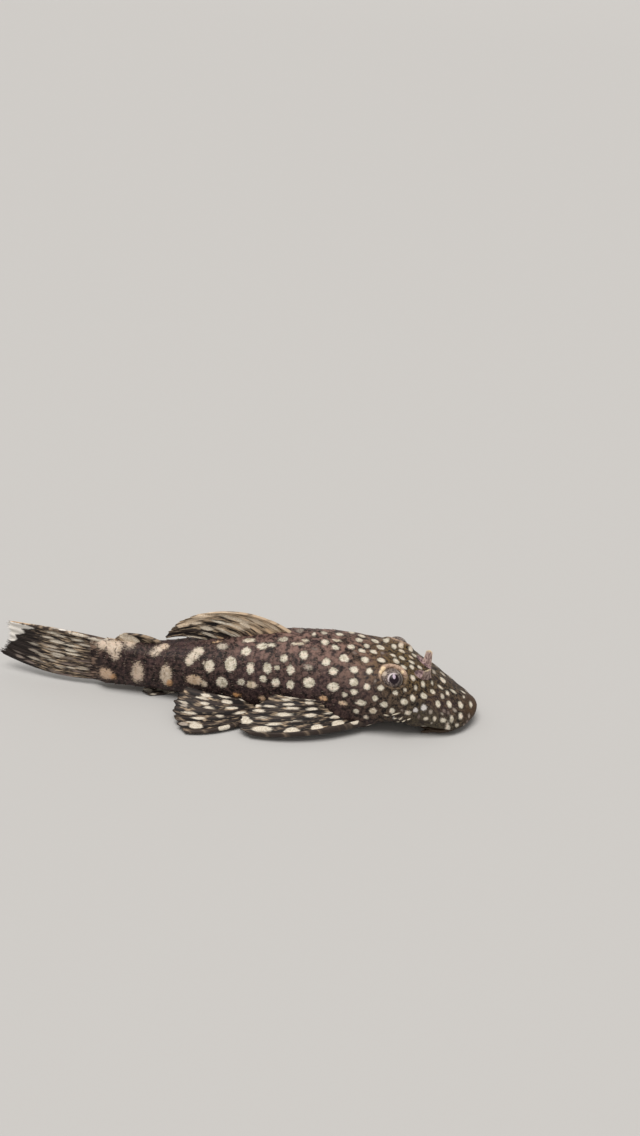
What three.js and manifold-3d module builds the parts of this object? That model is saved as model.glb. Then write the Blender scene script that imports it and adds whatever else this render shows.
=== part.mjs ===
// A young bristlenose pleco at life size, resting on its belly with the dorsal fin laid back.
// Millimetres, +Z up. The snout points to +X, the fish's right side faces -Y, and the belly's
// flat lies on z = 0 around the origin.
import * as THREE from "three";
import { mergeVertices } from "three/addons/utils/BufferGeometryUtils.js";
import Module from "manifold-3d";

const wasm = await Module();
wasm.setup();

// Driving sizes
const STANDARD_LENGTH = 65.5; // snout tip to the root of the tail fin
const SNOUT = { x: 32.5, y: -2.7 }; // where the snout tip lies on the floor plan
const HEAD_TURN = 4; // degrees that the head is turned to the right side
const SEAM = 0.3; // gap kept between neighbouring pieces
const HEAD_END = 22; // where the head meets the trunk, measured behind the snout
const TAIL_START = 47.4;
const TAIL_END = 66.5;

// The middle line seen from above, as arcs: each turns towards the left side by some degrees
const SPINE_ARCS = [
  { until: 12, turn: 0 },
  { until: 20, turn: 1.11 },
  { until: 36, turn: -7.11 },
  { until: 62, turn: -2 },
  { until: 90, turn: 30 },
];

// Outlines, as pairs of distance behind the snout tip and value, both shares of the standard length
const BACK_HEIGHT = [
  [0, 0.042], [0.015, 0.053], [0.04, 0.066], [0.08, 0.09], [0.14, 0.126], [0.22, 0.164],
  [0.32, 0.188], [0.42, 0.197], [0.5, 0.196], [0.62, 0.176], [0.76, 0.152], [0.88, 0.137],
  [1.02, 0.14],
];
const HALF_WIDTH = [
  [0, 0], [0.015, 0.056], [0.04, 0.09], [0.08, 0.118], [0.14, 0.136], [0.22, 0.15],
  [0.32, 0.156], [0.42, 0.142], [0.5, 0.127], [0.62, 0.103], [0.76, 0.074], [0.88, 0.05],
  [1.02, 0.026],
];
const KEEL_HEIGHT = [
  [0, 0.042], [0.02, 0.026], [0.05, 0.019], [0.09, 0.032], [0.13, 0.052], [0.2, 0.062],
  [0.32, 0.06], [0.5, 0.06], [0.76, 0.07], [1.02, 0.078],
];
const BELLY_HEIGHT = [
  [0, 0.042], [0.012, 0.022], [0.03, 0.017], [0.165, 0.017], [0.2, 0.034], [0.24, 0.026],
  [0.3, 0], [0.7, 0], [0.735, 0.007], [0.78, 0.0155], [0.9, 0.0175], [1.02, 0.0175],
];
const BELLY_FLAT = [[0, 0.3], [0.1, 0.55], [0.3, 0.62], [0.5, 0.6], [0.76, 0.4], [1.02, 0.3]];
const BACK_SQUARENESS = [[0, 2], [0.2, 2.1], [0.5, 1.85], [0.8, 2.1], [1.02, 2.4]];
const FLANK_SQUARENESS = 2.2;

// Rows of bony plates behind the head: five a side, each with a low keel along its middle. Every
// plate is lowest at its front, under the plate before it, and ends in a raised, pointed edge.
const PLATE = { pitch: 1.73, rise: 0.26, keel: 0.14, step: 0.14, point: 0.3 };

// The ring of points round the body: 6 steps from the mid back to the keel, 4 down the flank and
// 3 across the half of the belly, which is bare of plates
const RING_STEPS = 13;
const BACK_SHARE = 6 / RING_STEPS;
const FLANK_SHARE = 10 / RING_STEPS;

// Small steps between two points of a surface whose direction is wanted
const NUDGE = 0.01;
const RING_NUDGE = 0.02;

// A smooth line through the knots that never overshoots them (monotone cubic). Distances are
// compared by their square roots, which rounds the snout.
function outline(knots) {
  const root = knots.map((knot) => Math.sqrt(knot[0]));
  const rise = knots.slice(1).map((knot, i) => (knot[1] - knots[i][1]) / (root[i + 1] - root[i]));
  const slope = knots.map((knot, i) => {
    if (i === 0) return rise[0];
    if (i === knots.length - 1) return rise[i - 1];
    const product = rise[i - 1] * rise[i];
    return product <= 0 ? 0 : (2 * product) / (rise[i - 1] + rise[i]);
  });
  return (share) => {
    const at = Math.min(Math.sqrt(Math.max(share, 0)), root[root.length - 1]);
    const next = root.findIndex((value, i) => i > 0 && value >= at);
    const span = root[next] - root[next - 1];
    const t = (at - root[next - 1]) / span;
    return (
      knots[next - 1][1] * (1 + 2 * t) * (1 - t) ** 2 +
      knots[next][1] * t * t * (3 - 2 * t) +
      span * (slope[next - 1] * t * (1 - t) ** 2 - slope[next] * t * t * (1 - t))
    );
  };
}
const backHeight = outline(BACK_HEIGHT);
const halfWidth = outline(HALF_WIDTH);
const keelHeight = outline(KEEL_HEIGHT);
const bellyHeight = outline(BELLY_HEIGHT);
const bellyFlat = outline(BELLY_FLAT);
const backSquareness = outline(BACK_SQUARENESS);

// The point of the middle line at a distance behind the snout, and the heading there.
function spineAt(s) {
  let { x, y } = SNOUT;
  let heading = THREE.MathUtils.degToRad(HEAD_TURN);
  let start = 0;
  for (const arc of SPINE_ARCS) {
    const length = Math.min(s, arc.until) - start;
    if (length <= 0 && start > 0) break;
    const bend = (THREE.MathUtils.degToRad(arc.turn) * length) / (arc.until - start);
    const chord = Math.abs(bend) < 1e-6 ? length : (2 * length * Math.sin(bend / 2)) / bend;
    x -= chord * Math.cos(heading + bend / 2);
    y += chord * Math.sin(heading + bend / 2);
    heading += bend;
    start = arc.until;
  }
  return { x, y, heading };
}

// Places a point given by its distance behind the snout, its offset to the left and its height.
function place(s, left, up) {
  const at = spineAt(s);
  const x = at.x + left * Math.sin(at.heading);
  const y = at.y + left * Math.cos(at.heading);
  return new THREE.Vector3(x, y, up);
}

// The body's section at distance s, as offset from the middle and height. The ring runs from the
// middle of the back (0) to the middle of the belly (1). The back and the flank are quarters of
// superellipses.
function sectionPoint(s, ring) {
  const share = s / STANDARD_LENGTH;
  const width = halfWidth(share) * STANDARD_LENGTH;
  const top = backHeight(share) * STANDARD_LENGTH;
  const keel = keelHeight(share) * STANDARD_LENGTH;
  const belly = bellyHeight(share) * STANDARD_LENGTH;
  const flat = width * bellyFlat(share);
  if (ring <= BACK_SHARE) {
    const angle = (ring / BACK_SHARE) * (Math.PI / 2);
    const power = 2 / backSquareness(share);
    const up = keel + (top - keel) * Math.max(Math.cos(angle), 0) ** power;
    return new THREE.Vector2(width * Math.sin(angle) ** power, up);
  }
  if (ring <= FLANK_SHARE) {
    const angle = ((ring - BACK_SHARE) / (FLANK_SHARE - BACK_SHARE)) * (Math.PI / 2);
    const power = 2 / FLANK_SQUARENESS;
    const out = flat + (width - flat) * Math.max(Math.cos(angle), 0) ** power;
    return new THREE.Vector2(out, keel - (keel - belly) * Math.sin(angle) ** power);
  }
  return new THREE.Vector2((flat * (1 - ring)) / (1 - FLANK_SHARE), belly);
}

// The direction out of the body in the plane of the section.
function sectionNormal(s, ring) {
  const before = sectionPoint(s, Math.max(ring - RING_NUDGE, 0));
  const after = sectionPoint(s, Math.min(ring + RING_NUDGE, 1));
  if (ring < RING_NUDGE) return new THREE.Vector2(0, 1);
  if (ring > 1 - RING_NUDGE) return new THREE.Vector2(0, -1);
  return new THREE.Vector2(before.y - after.y, after.x - before.x).normalize();
}

// A point on the body with its outward direction. The side is +1 for the left and -1 for the right.
function surfaceAt(s, ring, side) {
  const at = sectionPoint(s, ring);
  const out = sectionNormal(s, ring);
  const point = place(s, side * at.x, at.y);
  const normal = place(s, side * (at.x + out.x), at.y + out.y).sub(point).normalize();
  return { point, normal };
}

// The same, with the direction square to the surface also along the body
function facingAt(s, ring, side) {
  const nearby = (ds, dring) => {
    const at = sectionPoint(s + ds, ring + dring);
    return place(s + ds, side * at.x, at.y);
  };
  const along = nearby(NUDGE, 0).sub(nearby(-NUDGE, 0));
  const around = nearby(0, NUDGE).sub(nearby(0, -NUDGE));
  const { point, normal } = surfaceAt(s, ring, side);
  const square = along.cross(around).normalize();
  return { point, normal: square.dot(normal) < 0 ? square.negate() : square };
}

// The ring share at which the back has a given offset from the middle.
function ringAtOffset(s, offset) {
  const share = s / STANDARD_LENGTH;
  const reach = offset / (halfWidth(share) * STANDARD_LENGTH);
  return (Math.asin(reach ** (backSquareness(share) / 2)) / (Math.PI / 2)) * BACK_SHARE;
}

// The border of the head runs back at the nape, as the nape's bone ends in a point, and forward at
// the gill opening. Sections near it lean the same way.
const LEAN = { nape: 2.8, gill: -1.8, from: 9, to: 36, level: 0.5 };
function lean(s, ring) {
  const across = Math.sin((Math.min(ring / BACK_SHARE, 1) * Math.PI) / 2) ** 2;
  const rising = THREE.MathUtils.smoothstep(s, LEAN.from, HEAD_END - LEAN.level);
  const falling = 1 - THREE.MathUtils.smoothstep(s, HEAD_END + LEAN.level, LEAN.to);
  return THREE.MathUtils.lerp(LEAN.nape, LEAN.gill, across) * rising * falling;
}

// Solids in and out of the boolean library. A geometry that faces inwards is turned round.
function solidFrom(geometry) {
  const plain = geometry.clone();
  plain.deleteAttribute("normal");
  plain.deleteAttribute("uv");
  const merged = mergeVertices(plain, 1e-5);
  const faces = [];
  for (let i = 0; i < merged.index.count; i += 3) {
    const [a, b, c] = merged.index.array.slice(i, i + 3);
    if (a !== b && b !== c && c !== a) faces.push([a, b, c]);
  }
  const vertProperties = new Float32Array(merged.attributes.position.array);
  const make = (triangles) => {
    const triVerts = new Uint32Array(triangles.flat());
    return new wasm.Manifold(new wasm.Mesh({ numProp: 3, vertProperties, triVerts }));
  };
  const solid = make(faces);
  return solid.volume() < 0 ? make(faces.map(([a, b, c]) => [a, c, b])) : solid;
}
function geometryFrom(solid) {
  const mesh = solid.getMesh();
  const geometry = new THREE.BufferGeometry();
  geometry.setAttribute("position", new THREE.BufferAttribute(mesh.vertProperties, 3));
  geometry.setIndex(new THREE.BufferAttribute(mesh.triVerts, 1));
  return geometry;
}
function largestPiece(solid) {
  return solid.decompose().reduce((kept, piece) => (piece.volume() > kept.volume() ? piece : kept));
}

// A closed solid from rings with equal numbers of points, fanned shut at both ends
function average(ring) {
  const sum = new THREE.Vector3();
  ring.forEach((point) => sum.add(point));
  return sum.divideScalar(ring.length);
}
function ringSolid(rings) {
  const count = rings[0].length;
  const points = rings.flat();
  const faces = [];
  for (let i = 0; i + 1 < rings.length; i++)
    for (let j = 0; j < count; j++) {
      const a = i * count + j;
      const b = i * count + ((j + 1) % count);
      faces.push(a, b, b + count, a, b + count, a + count);
    }
  const first = points.push(average(rings[0])) - 1;
  const last = points.push(average(rings[rings.length - 1])) - 1;
  const end = (rings.length - 1) * count;
  for (let j = 0; j < count; j++) {
    const next = (j + 1) % count;
    faces.push(first, next, j, last, end + j, end + next);
  }
  const geometry = new THREE.BufferGeometry().setFromPoints(points);
  geometry.setIndex(faces);
  return solidFrom(geometry);
}

// Eyes, placed on the head's surface. The ball is sunk so that a third of it shows.
const EYE = { s: 14.9, offset: 6.3, radius: 2.05, sunk: 1.15, bulge: 0.45, bulgeSpread: 2.5 };
const EYE_FACETS = { around: 20, down: 14 };
function eyeCentre(side) {
  const at = facingAt(EYE.s, ringAtOffset(EYE.s, EYE.offset), side);
  return at.point.addScaledVector(at.normal, EYE.bulge - EYE.sunk);
}
const EYE_CENTRES = [eyeCentre(1), eyeCentre(-1)];

// One ring of the body, pushed out over the eyes by a soft bump. A station has its distance behind
// the snout and, where plates are, how far the plates stand out there (0 at a front, 1 at an edge).
// No plate reaches below the floor.
function bodyRing(station, grow) {
  const ring = [];
  for (let j = 0; j < 2 * RING_STEPS; j++) {
    const side = j <= RING_STEPS ? 1 : -1;
    const along = side > 0 ? j / RING_STEPS : 2 - j / RING_STEPS;
    const step = Math.round(along * RING_STEPS);
    const isPlated = station.rise !== undefined && step < FLANK_SHARE * RING_STEPS - 0.5;
    const isKeel = step % 2 === 1;
    const back = isPlated && isKeel && !station.isBlunt ? PLATE.point : 0;
    const at = surfaceAt(station.s + back + lean(station.s, along), along, side);
    let push = grow;
    if (isPlated) push += PLATE.rise * station.rise + (isKeel ? PLATE.keel : 0);
    for (const centre of EYE_CENTRES) {
      const distance = at.point.distanceTo(centre);
      push += EYE.bulge * Math.exp(-0.5 * (distance / EYE.bulgeSpread) ** 2);
    }
    at.point.addScaledVector(at.normal, push);
    at.point.z = Math.max(at.point.z, -grow);
    ring.push(at.point);
  }
  return ring;
}
function bodySolid(stations, grow = 0) {
  return ringSolid(stations.map((station) => bodyRing(station, grow)));
}
function evenStations(from, to, steps) {
  return Array.from({ length: steps + 1 }, (_, i) => from + ((to - from) * i) / steps);
}
function platedStations(from, to) {
  const count = Math.round((to - from) / PLATE.pitch);
  const length = (to - from) / count;
  const stations = [];
  for (let i = 0; i < count; i++) {
    stations.push({ s: from + i * length, rise: 0 });
    stations.push({ s: from + (i + 1) * length - (i + 1 < count ? PLATE.step : 0), rise: 1 });
  }
  return stations;
}
// The head's rings crowd towards the snout, where the outline turns fastest
const HEAD_RINGS = { first: 0.05, steps: 28, crowding: 1.5 };
const headStations = evenStations(0, 1, HEAD_RINGS.steps).map((t) => ({
  s: HEAD_RINGS.first + (HEAD_END - HEAD_RINGS.first) * t ** HEAD_RINGS.crowding,
}));
const torsoStations = platedStations(HEAD_END + SEAM, TAIL_START);
const tailStations = platedStations(TAIL_START + SEAM, TAIL_END);
torsoStations[0].isBlunt = true;
tailStations[tailStations.length - 1].isBlunt = true;

// The whole body swollen by the seam: what is cut with it keeps that gap to the body
const swollenBody = bodySolid([...headStations, ...torsoStations, ...tailStations], SEAM);

// How far a fin's rounded edge reaches past its last ray, and how thin it gets, as shares of the
// ray's thickness
const EDGE = { reach: 0.35, thin: 0.45 };

// A fin is a thin vane over a patch. The patch passes through nine points: the root, middle and tip
// of its first, middle and last rays, each as distance behind the snout, offset and height.
function lagrange(t) {
  return [2 * (t - 0.5) * (t - 1), 4 * t * (1 - t), 2 * t * (t - 0.5)];
}
function patchPoint(fin, side, u, v) {
  const across = lagrange(u);
  const along = lagrange(v);
  const sum = [0, 0, 0];
  fin.patch.forEach((ray, i) =>
    ray.forEach((knot, k) =>
      knot.forEach((value, axis) => {
        sum[axis] += value * across[i] * along[k];
      }),
    ),
  );
  return place(sum[0], side * sum[1], sum[2]);
}
function patchNormal(fin, side, u, v) {
  const across = patchPoint(fin, side, u + NUDGE, v).sub(patchPoint(fin, side, u - NUDGE, v));
  const along = patchPoint(fin, side, u, v + NUDGE).sub(patchPoint(fin, side, u, v - NUDGE));
  return across.cross(along).normalize();
}
// Columns run along the rays, with a valley of membrane between two rays. One thinner column more
// at each end rounds the edge.
function finColumns(fin) {
  const between = 2 * (fin.rays - 1);
  const columns = [];
  for (let k = -1; k <= between + 1; k++) {
    const u = THREE.MathUtils.clamp(k / between, 0, 1);
    const isEdge = k < 0 || k > between;
    const isSpine = k <= 0;
    const isRay = k % 2 === 0 || isEdge;
    let root = isSpine ? fin.spine : isRay ? fin.ray : fin.membrane;
    let tip = isSpine ? fin.spineTip : fin.tip;
    const reach = isEdge ? Math.sign(k) * root * EDGE.reach : 0;
    if (isEdge) root *= EDGE.thin;
    if (isEdge) tip *= EDGE.thin;
    columns.push({ u, root, tip, reach, length: isRay ? 1 : fin.notch });
  }
  return columns;
}
function finSolid(fin, side) {
  const { rows } = fin;
  const columns = finColumns(fin);
  const front = [];
  const back = [];
  for (const column of columns)
    for (let i = 0; i <= rows; i++) {
      const v = (i / rows) * column.length;
      const across = patchPoint(fin, side, column.u + NUDGE, v)
        .sub(patchPoint(fin, side, column.u - NUDGE, v))
        .normalize();
      const point = patchPoint(fin, side, column.u, v).addScaledVector(across, column.reach);
      const normal = patchNormal(fin, side, column.u, v);
      const half = THREE.MathUtils.lerp(column.root, column.tip, v) / 2;
      front.push(point.clone().addScaledVector(normal, half));
      back.push(point.clone().addScaledVector(normal, -half));
    }
  const stride = rows + 1;
  const last = columns.length - 1;
  const far = front.length;
  const faces = [];
  for (let k = 0; k < last; k++)
    for (let i = 0; i < rows; i++) {
      const a = k * stride + i;
      const b = a + stride;
      faces.push(a, b, b + 1, a, b + 1, a + 1);
      faces.push(far + a, far + b + 1, far + b, far + a, far + a + 1, far + b + 1);
    }
  const border = [];
  for (let k = 0; k <= last; k++) border.push(k * stride);
  for (let i = 1; i <= rows; i++) border.push(last * stride + i);
  for (let k = last - 1; k >= 0; k--) border.push(k * stride + rows);
  for (let i = rows - 1; i > 0; i--) border.push(i);
  border.forEach((a, index) => {
    const b = border[(index + 1) % border.length];
    faces.push(a, far + a, far + b, a, far + b, b);
  });
  const geometry = new THREE.BufferGeometry().setFromPoints([...front, ...back]);
  geometry.setIndex(faces);
  return solidFrom(geometry);
}
// A vane with its root sunk in the body, cut back to the seam
function rootedFin(fin, side) {
  return largestPiece(finSolid(fin, side).subtract(swollenBody));
}

const VANE = { spine: 1.2, spineTip: 0.6, ray: 0.75, membrane: 0.5, tip: 0.4, notch: 0.97 };
const DORSAL = {
  ...VANE,
  rays: 8,
  rows: 9,
  patch: [
    [[31.4, 0, 11.2], [39.6, 0, 15.4], [48.6, 0, 15.2]],
    [[39.2, 0, 11.4], [45.6, 0, 14.2], [52.8, 0, 13.2]],
    [[46.5, 0, 9.8], [50.6, 0, 10.7], [55.0, 0, 10.0]],
  ],
};
const ADIPOSE = {
  ...VANE,
  rays: 3,
  rows: 6,
  patch: [
    [[54.8, 0, 8.5], [58.4, 0, 10.2], [62.4, 0, 10.5]],
    [[59.0, 0, 8.2], [60.8, 0, 9.5], [63.0, 0, 10.0]],
    [[62.6, 0, 8.2], [63.1, 0, 8.8], [63.6, 0, 9.5]],
  ],
};
const ANAL = {
  ...VANE,
  spine: 0.55,
  spineTip: 0.4,
  ray: 0.55,
  membrane: 0.45,
  rays: 5,
  rows: 7,
  patch: [
    [[48.6, 0, 1.6], [52.8, 1.5, 0.42], [57.6, 2.9, 0.44]],
    [[50.1, 0, 1.7], [54.0, 1.1, 0.44], [58.6, 1.9, 0.44]],
    [[51.6, 0, 1.8], [54.8, 0.6, 0.46], [58.0, 0.7, 0.46]],
  ],
};
const PELVIC = {
  ...VANE,
  rays: 6,
  rows: 8,
  patch: [
    [[33.2, 4.6, 1.0], [42.5, 12.6, 0.8], [50.4, 14.7, 0.6]],
    [[34.6, 4.7, 1.1], [43.8, 10.0, 1.5], [52.6, 9.6, 1.9]],
    [[36.0, 4.8, 1.2], [43.8, 7.0, 3.1], [50.8, 5.8, 4.2]],
  ],
};
const PECTORAL = {
  ...VANE,
  spine: 1.6,
  spineTip: 0.9,
  rays: 7,
  rows: 9,
  patch: [
    [[17.8, 8.3, 2.0], [28.4, 14.2, 1.7], [39.8, 14.8, 1.05]],
    [[21.2, 7.6, 3.1], [30.6, 12.1, 3.3], [41.0, 12.0, 2.3]],
    [[23.6, 7.8, 4.2], [29.4, 9.9, 5.4], [35.4, 9.6, 5.7]],
  ],
};
const CAUDAL = {
  ...VANE,
  spine: 1.3,
  rays: 16,
  rows: 9,
  patch: [
    [[TAIL_END + SEAM, 0, 9.0], [75.5, 0, 9.8], [83.9, 0, 9.4]],
    [[TAIL_END + SEAM, 0, 5.0], [75.3, 0, 5.5], [83.6, 0, 6.1]],
    [[TAIL_END + SEAM, 0, 1.4], [76.0, 0, 1.5], [85.8, 0, 3.1]],
  ],
};

// Moves a geometry made round the origin onto the body: its +Z goes along the outward direction and
// its +X towards the snout.
function setOn(geometry, s, ring, side, height) {
  const { point, normal } = facingAt(s, ring, side);
  const { heading } = spineAt(s);
  const ahead = new THREE.Vector3(Math.cos(heading), -Math.sin(heading), 0);
  const across = normal.clone().cross(ahead).normalize();
  const forward = across.clone().cross(normal);
  const place = new THREE.Matrix4().makeBasis(forward, across, normal);
  place.setPosition(point.addScaledVector(normal, height));
  return geometry.applyMatrix4(place);
}

// The raised rim round each eye, a little longer than wide, and the socket inside it
const RIM = { radius: 2.2, tube: 0.42, stretch: 1.1, sunk: 0.12, sides: 7, steps: 22 };
function eyeRim(side) {
  const rim = new THREE.TorusGeometry(RIM.radius, RIM.tube, RIM.sides, RIM.steps);
  rim.scale(RIM.stretch, 1, 1);
  return solidFrom(setOn(rim, EYE.s, ringAtOffset(EYE.s, EYE.offset), side, EYE.bulge - RIM.sunk));
}
function eyeSolid(side, radius) {
  const ball = new THREE.SphereGeometry(radius, EYE_FACETS.around, EYE_FACETS.down);
  const centre = eyeCentre(side);
  ball.translate(centre.x, centre.y, centre.z);
  return solidFrom(ball);
}

// A nostril: a shallow oval dish with a rim, and an upright flap at its front that leans outwards
const NOSTRIL = { s: 9.95, offset: 2.35, length: 1.3, width: 0.9, depth: 0.45, lift: 0.1 };
const NOSTRIL_RIM = { tube: 0.24, sunk: 0.02 };
const FLAP = { top: 0.52, foot: 0.66, thin: 0.45, high: 3.1, sunk: 0.7, ahead: 0.75, facets: 10 };
const FLAP_LEAN = { back: 0.44, out: 0.25 };
function nostrilPart(side, geometry, height) {
  const ring = ringAtOffset(NOSTRIL.s, NOSTRIL.offset);
  return solidFrom(setOn(geometry, NOSTRIL.s, ring, side, height));
}
function nostrilDish(side) {
  const dish = new THREE.SphereGeometry(1, 14, 8);
  dish.scale(NOSTRIL.length, NOSTRIL.width, NOSTRIL.depth);
  return nostrilPart(side, dish, NOSTRIL.lift);
}
function nostrilRim(side) {
  const rim = new THREE.TorusGeometry(1, NOSTRIL_RIM.tube, 5, 16);
  rim.scale(NOSTRIL.length, NOSTRIL.width, 1);
  return nostrilPart(side, rim, -NOSTRIL_RIM.sunk);
}
function nostrilFlap(side) {
  const flap = new THREE.CylinderGeometry(FLAP.top, FLAP.foot, FLAP.high, FLAP.facets);
  flap.rotateX(Math.PI / 2);
  flap.scale(FLAP.thin, 1, 1);
  flap.translate(0, 0, FLAP.high / 2 - FLAP.sunk);
  flap.rotateX(-side * FLAP_LEAN.out);
  flap.rotateY(-FLAP_LEAN.back);
  flap.translate(FLAP.ahead, 0, 0);
  return nostrilPart(side, flap, 0);
}

// A tuft of short hooked spines low on each cheek, in three rows
const CHEEK = { s: 12.6, rows: 3, perRow: 4, spacing: 0.75, stagger: 0.25, rowGap: 0.03 };
const CHEEK_SPINE = { length: 1.7, shorter: 0.12, radius: 0.24, sunk: 0.35, lean: -0.95, facets: 5 };
function cheekSpines(side) {
  const spines = [];
  for (let row = 0; row < CHEEK.rows; row++)
    for (let k = 0; k < CHEEK.perRow; k++) {
      const length = CHEEK_SPINE.length * (1 - CHEEK_SPINE.shorter * ((row + k) % 3));
      const spine = new THREE.ConeGeometry(CHEEK_SPINE.radius, length, CHEEK_SPINE.facets);
      spine.rotateX(Math.PI / 2);
      spine.translate(0, 0, length / 2 - CHEEK_SPINE.sunk);
      spine.rotateY(CHEEK_SPINE.lean);
      const s = CHEEK.s + k * CHEEK.spacing + row * CHEEK.stagger;
      const ring = BACK_SHARE + (row - 1) * CHEEK.rowGap;
      spines.push(solidFrom(setOn(spine, s, ring, side, 0)));
    }
  return spines;
}

function headSolid() {
  let head = bodySolid(headStations);
  for (const side of [1, -1]) {
    head = head.add(eyeRim(side)).subtract(eyeSolid(side, EYE.radius + SEAM));
    head = head.add(nostrilRim(side)).subtract(nostrilDish(side)).add(nostrilFlap(side));
    for (const spine of cheekSpines(side)) head = head.add(spine);
  }
  return largestPiece(head);
}

// The sucking mouth under the head: a disc of lips that lies on the floor, with the slit of the
// mouth across it and a barbel at each side
const MOUTH = { s: 6.6, halfLength: 4.8, halfWidth: 7.0, slit: 5.0, slitWidth: 0.5, slitTop: 0.45 };
const MOUTH_PROFILE = [
  [0, 0.15], [0.36, 0.12], [0.48, 0], [0.84, 0], [0.95, 0.12], [1, 0.42], [1, 0.8], [0, 0.8],
];
const BARBEL = { length: 1.8, radius: 0.34, turn: 1, root: 0.4, back: 1.2, inset: 0.35, lift: 0.06 };
function mouthSolid() {
  const points = MOUTH_PROFILE.map(([out, up]) => new THREE.Vector2(out, up));
  const disc = new THREE.LatheGeometry(points, 32);
  disc.rotateX(Math.PI / 2);
  disc.scale(MOUTH.halfLength, MOUTH.halfWidth, 1);
  const slit = new THREE.BoxGeometry(MOUTH.slitWidth, MOUTH.slit, 2 * MOUTH.slitTop);
  const pieces = [disc, slit];
  for (const side of [1, -1]) {
    const barbel = new THREE.ConeGeometry(BARBEL.radius, BARBEL.length, 6);
    barbel.translate(0, BARBEL.length / 2 - BARBEL.root, 0);
    if (side < 0) barbel.rotateZ(Math.PI);
    barbel.rotateZ(side * BARBEL.turn);
    const out = side * (MOUTH.halfWidth - BARBEL.inset);
    barbel.translate(-BARBEL.back, out, BARBEL.radius + BARBEL.lift);
    pieces.push(barbel);
  }
  const at = spineAt(MOUTH.s);
  const [lips, cut, ...barbels] = pieces.map((piece) => {
    piece.rotateZ(-at.heading);
    piece.translate(at.x, at.y, 0);
    return solidFrom(piece);
  });
  return largestPiece(barbels.reduce((whole, barbel) => whole.add(barbel), lips.subtract(cut)));
}

// The pieces as named meshes
const fish = new THREE.Group();
function addPiece(name, solid, color, roughness = 0.55) {
  const material = new THREE.MeshStandardMaterial({ color, roughness, metalness: 0 });
  const mesh = new THREE.Mesh(geometryFrom(solid), material);
  mesh.name = name;
  fish.add(mesh);
}
const SKIN = 0x3a2e2a;
const FIN = 0x4a4248;
const LIP = 0xa58f7a;
const EYEBALL = 0x15100e;
addPiece("head", headSolid(), SKIN);
addPiece("torso", bodySolid(torsoStations), SKIN);
addPiece("tail", bodySolid(tailStations), SKIN);
addPiece("mouth_disc", mouthSolid(), LIP);
addPiece("dorsal_fin", rootedFin(DORSAL, 1), FIN);
addPiece("adipose_fin", rootedFin(ADIPOSE, 1), FIN);
addPiece("anal_fin", rootedFin(ANAL, 1), FIN);
addPiece("caudal_fin", finSolid(CAUDAL, 1), FIN);
for (const [word, side] of [["left", 1], ["right", -1]]) {
  addPiece(`pectoral_fin_${word}`, rootedFin(PECTORAL, side), FIN);
  addPiece(`pelvic_fin_${word}`, rootedFin(PELVIC, side), FIN);
  addPiece(`eye_${word}`, eyeSolid(side, EYE.radius), EYEBALL, 0.15);
}

export default fish;
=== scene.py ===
import bpy
import numpy as np
from mathutils import Matrix, Vector


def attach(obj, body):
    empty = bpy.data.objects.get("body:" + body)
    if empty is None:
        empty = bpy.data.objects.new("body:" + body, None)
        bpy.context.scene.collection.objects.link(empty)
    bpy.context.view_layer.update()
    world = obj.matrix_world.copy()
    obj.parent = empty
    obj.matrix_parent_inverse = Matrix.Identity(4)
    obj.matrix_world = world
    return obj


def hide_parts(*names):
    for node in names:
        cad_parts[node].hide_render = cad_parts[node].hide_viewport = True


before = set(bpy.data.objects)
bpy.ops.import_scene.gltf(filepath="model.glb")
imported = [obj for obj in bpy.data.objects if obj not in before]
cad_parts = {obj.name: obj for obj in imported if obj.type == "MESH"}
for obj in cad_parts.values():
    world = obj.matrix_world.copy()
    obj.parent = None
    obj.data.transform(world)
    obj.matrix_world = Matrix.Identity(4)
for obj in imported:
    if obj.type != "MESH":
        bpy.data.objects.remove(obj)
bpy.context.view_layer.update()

# The camera
# The fish was photographed from its right side, from about 23 centimetres away and 29 degrees above
# it. The camera stands there and turns so that the fish lies just under the middle of the frame.
MM = 0.001
PHOTO_SIZE = (640, 1136)
FISH_PIXEL = (275, 675)
FOCAL_PIXELS = 1300
SENSOR_WIDTH = 36
LENS_DISTANCE = 0.229
AIM = Vector((-0.003, -0.0005, 0.004))
azimuth, elevation, roll = np.radians([3, 29, 3.5])
back = Vector((np.sin(azimuth) * np.cos(elevation), -np.cos(azimuth) * np.cos(elevation),
               np.sin(elevation)))
level = Vector((np.cos(azimuth), np.sin(azimuth), 0))
above = back.cross(level)
right = level * np.cos(roll) + above * np.sin(roll)
up = above * np.cos(roll) - level * np.sin(roll)
ray = Vector((FISH_PIXEL[0] - PHOTO_SIZE[0] / 2, PHOTO_SIZE[1] / 2 - FISH_PIXEL[1], -FOCAL_PIXELS))
turn = ray.rotation_difference(Vector((0, 0, -1))).to_matrix()
facing = Matrix((right, up, back)).transposed() @ turn
lens_at = AIM + back * LENS_DISTANCE
camera = bpy.data.objects.new("camera", bpy.data.cameras.new("camera"))
camera.matrix_world = Matrix.Translation(lens_at) @ facing.to_4x4()
camera.data.sensor_width = SENSOR_WIDTH
camera.data.lens = SENSOR_WIDTH * FOCAL_PIXELS / PHOTO_SIZE[1]
camera.data.clip_start = 0.01
camera.data.clip_end = 200
bpy.context.scene.collection.objects.link(camera)
bpy.context.scene.camera = camera


def in_photo(points):
    """The photo's pixel, from the left and from the top, that each point falls on: its place across
    and up in the camera's axes, over its distance, times the focal length."""
    seen = (points - np.array(lens_at) / MM) @ np.array(facing)
    shift = FOCAL_PIXELS * seen[..., :2] / seen[..., 2:]
    return np.array(PHOTO_SIZE) / 2 + shift * np.array([-1, 1])


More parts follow.
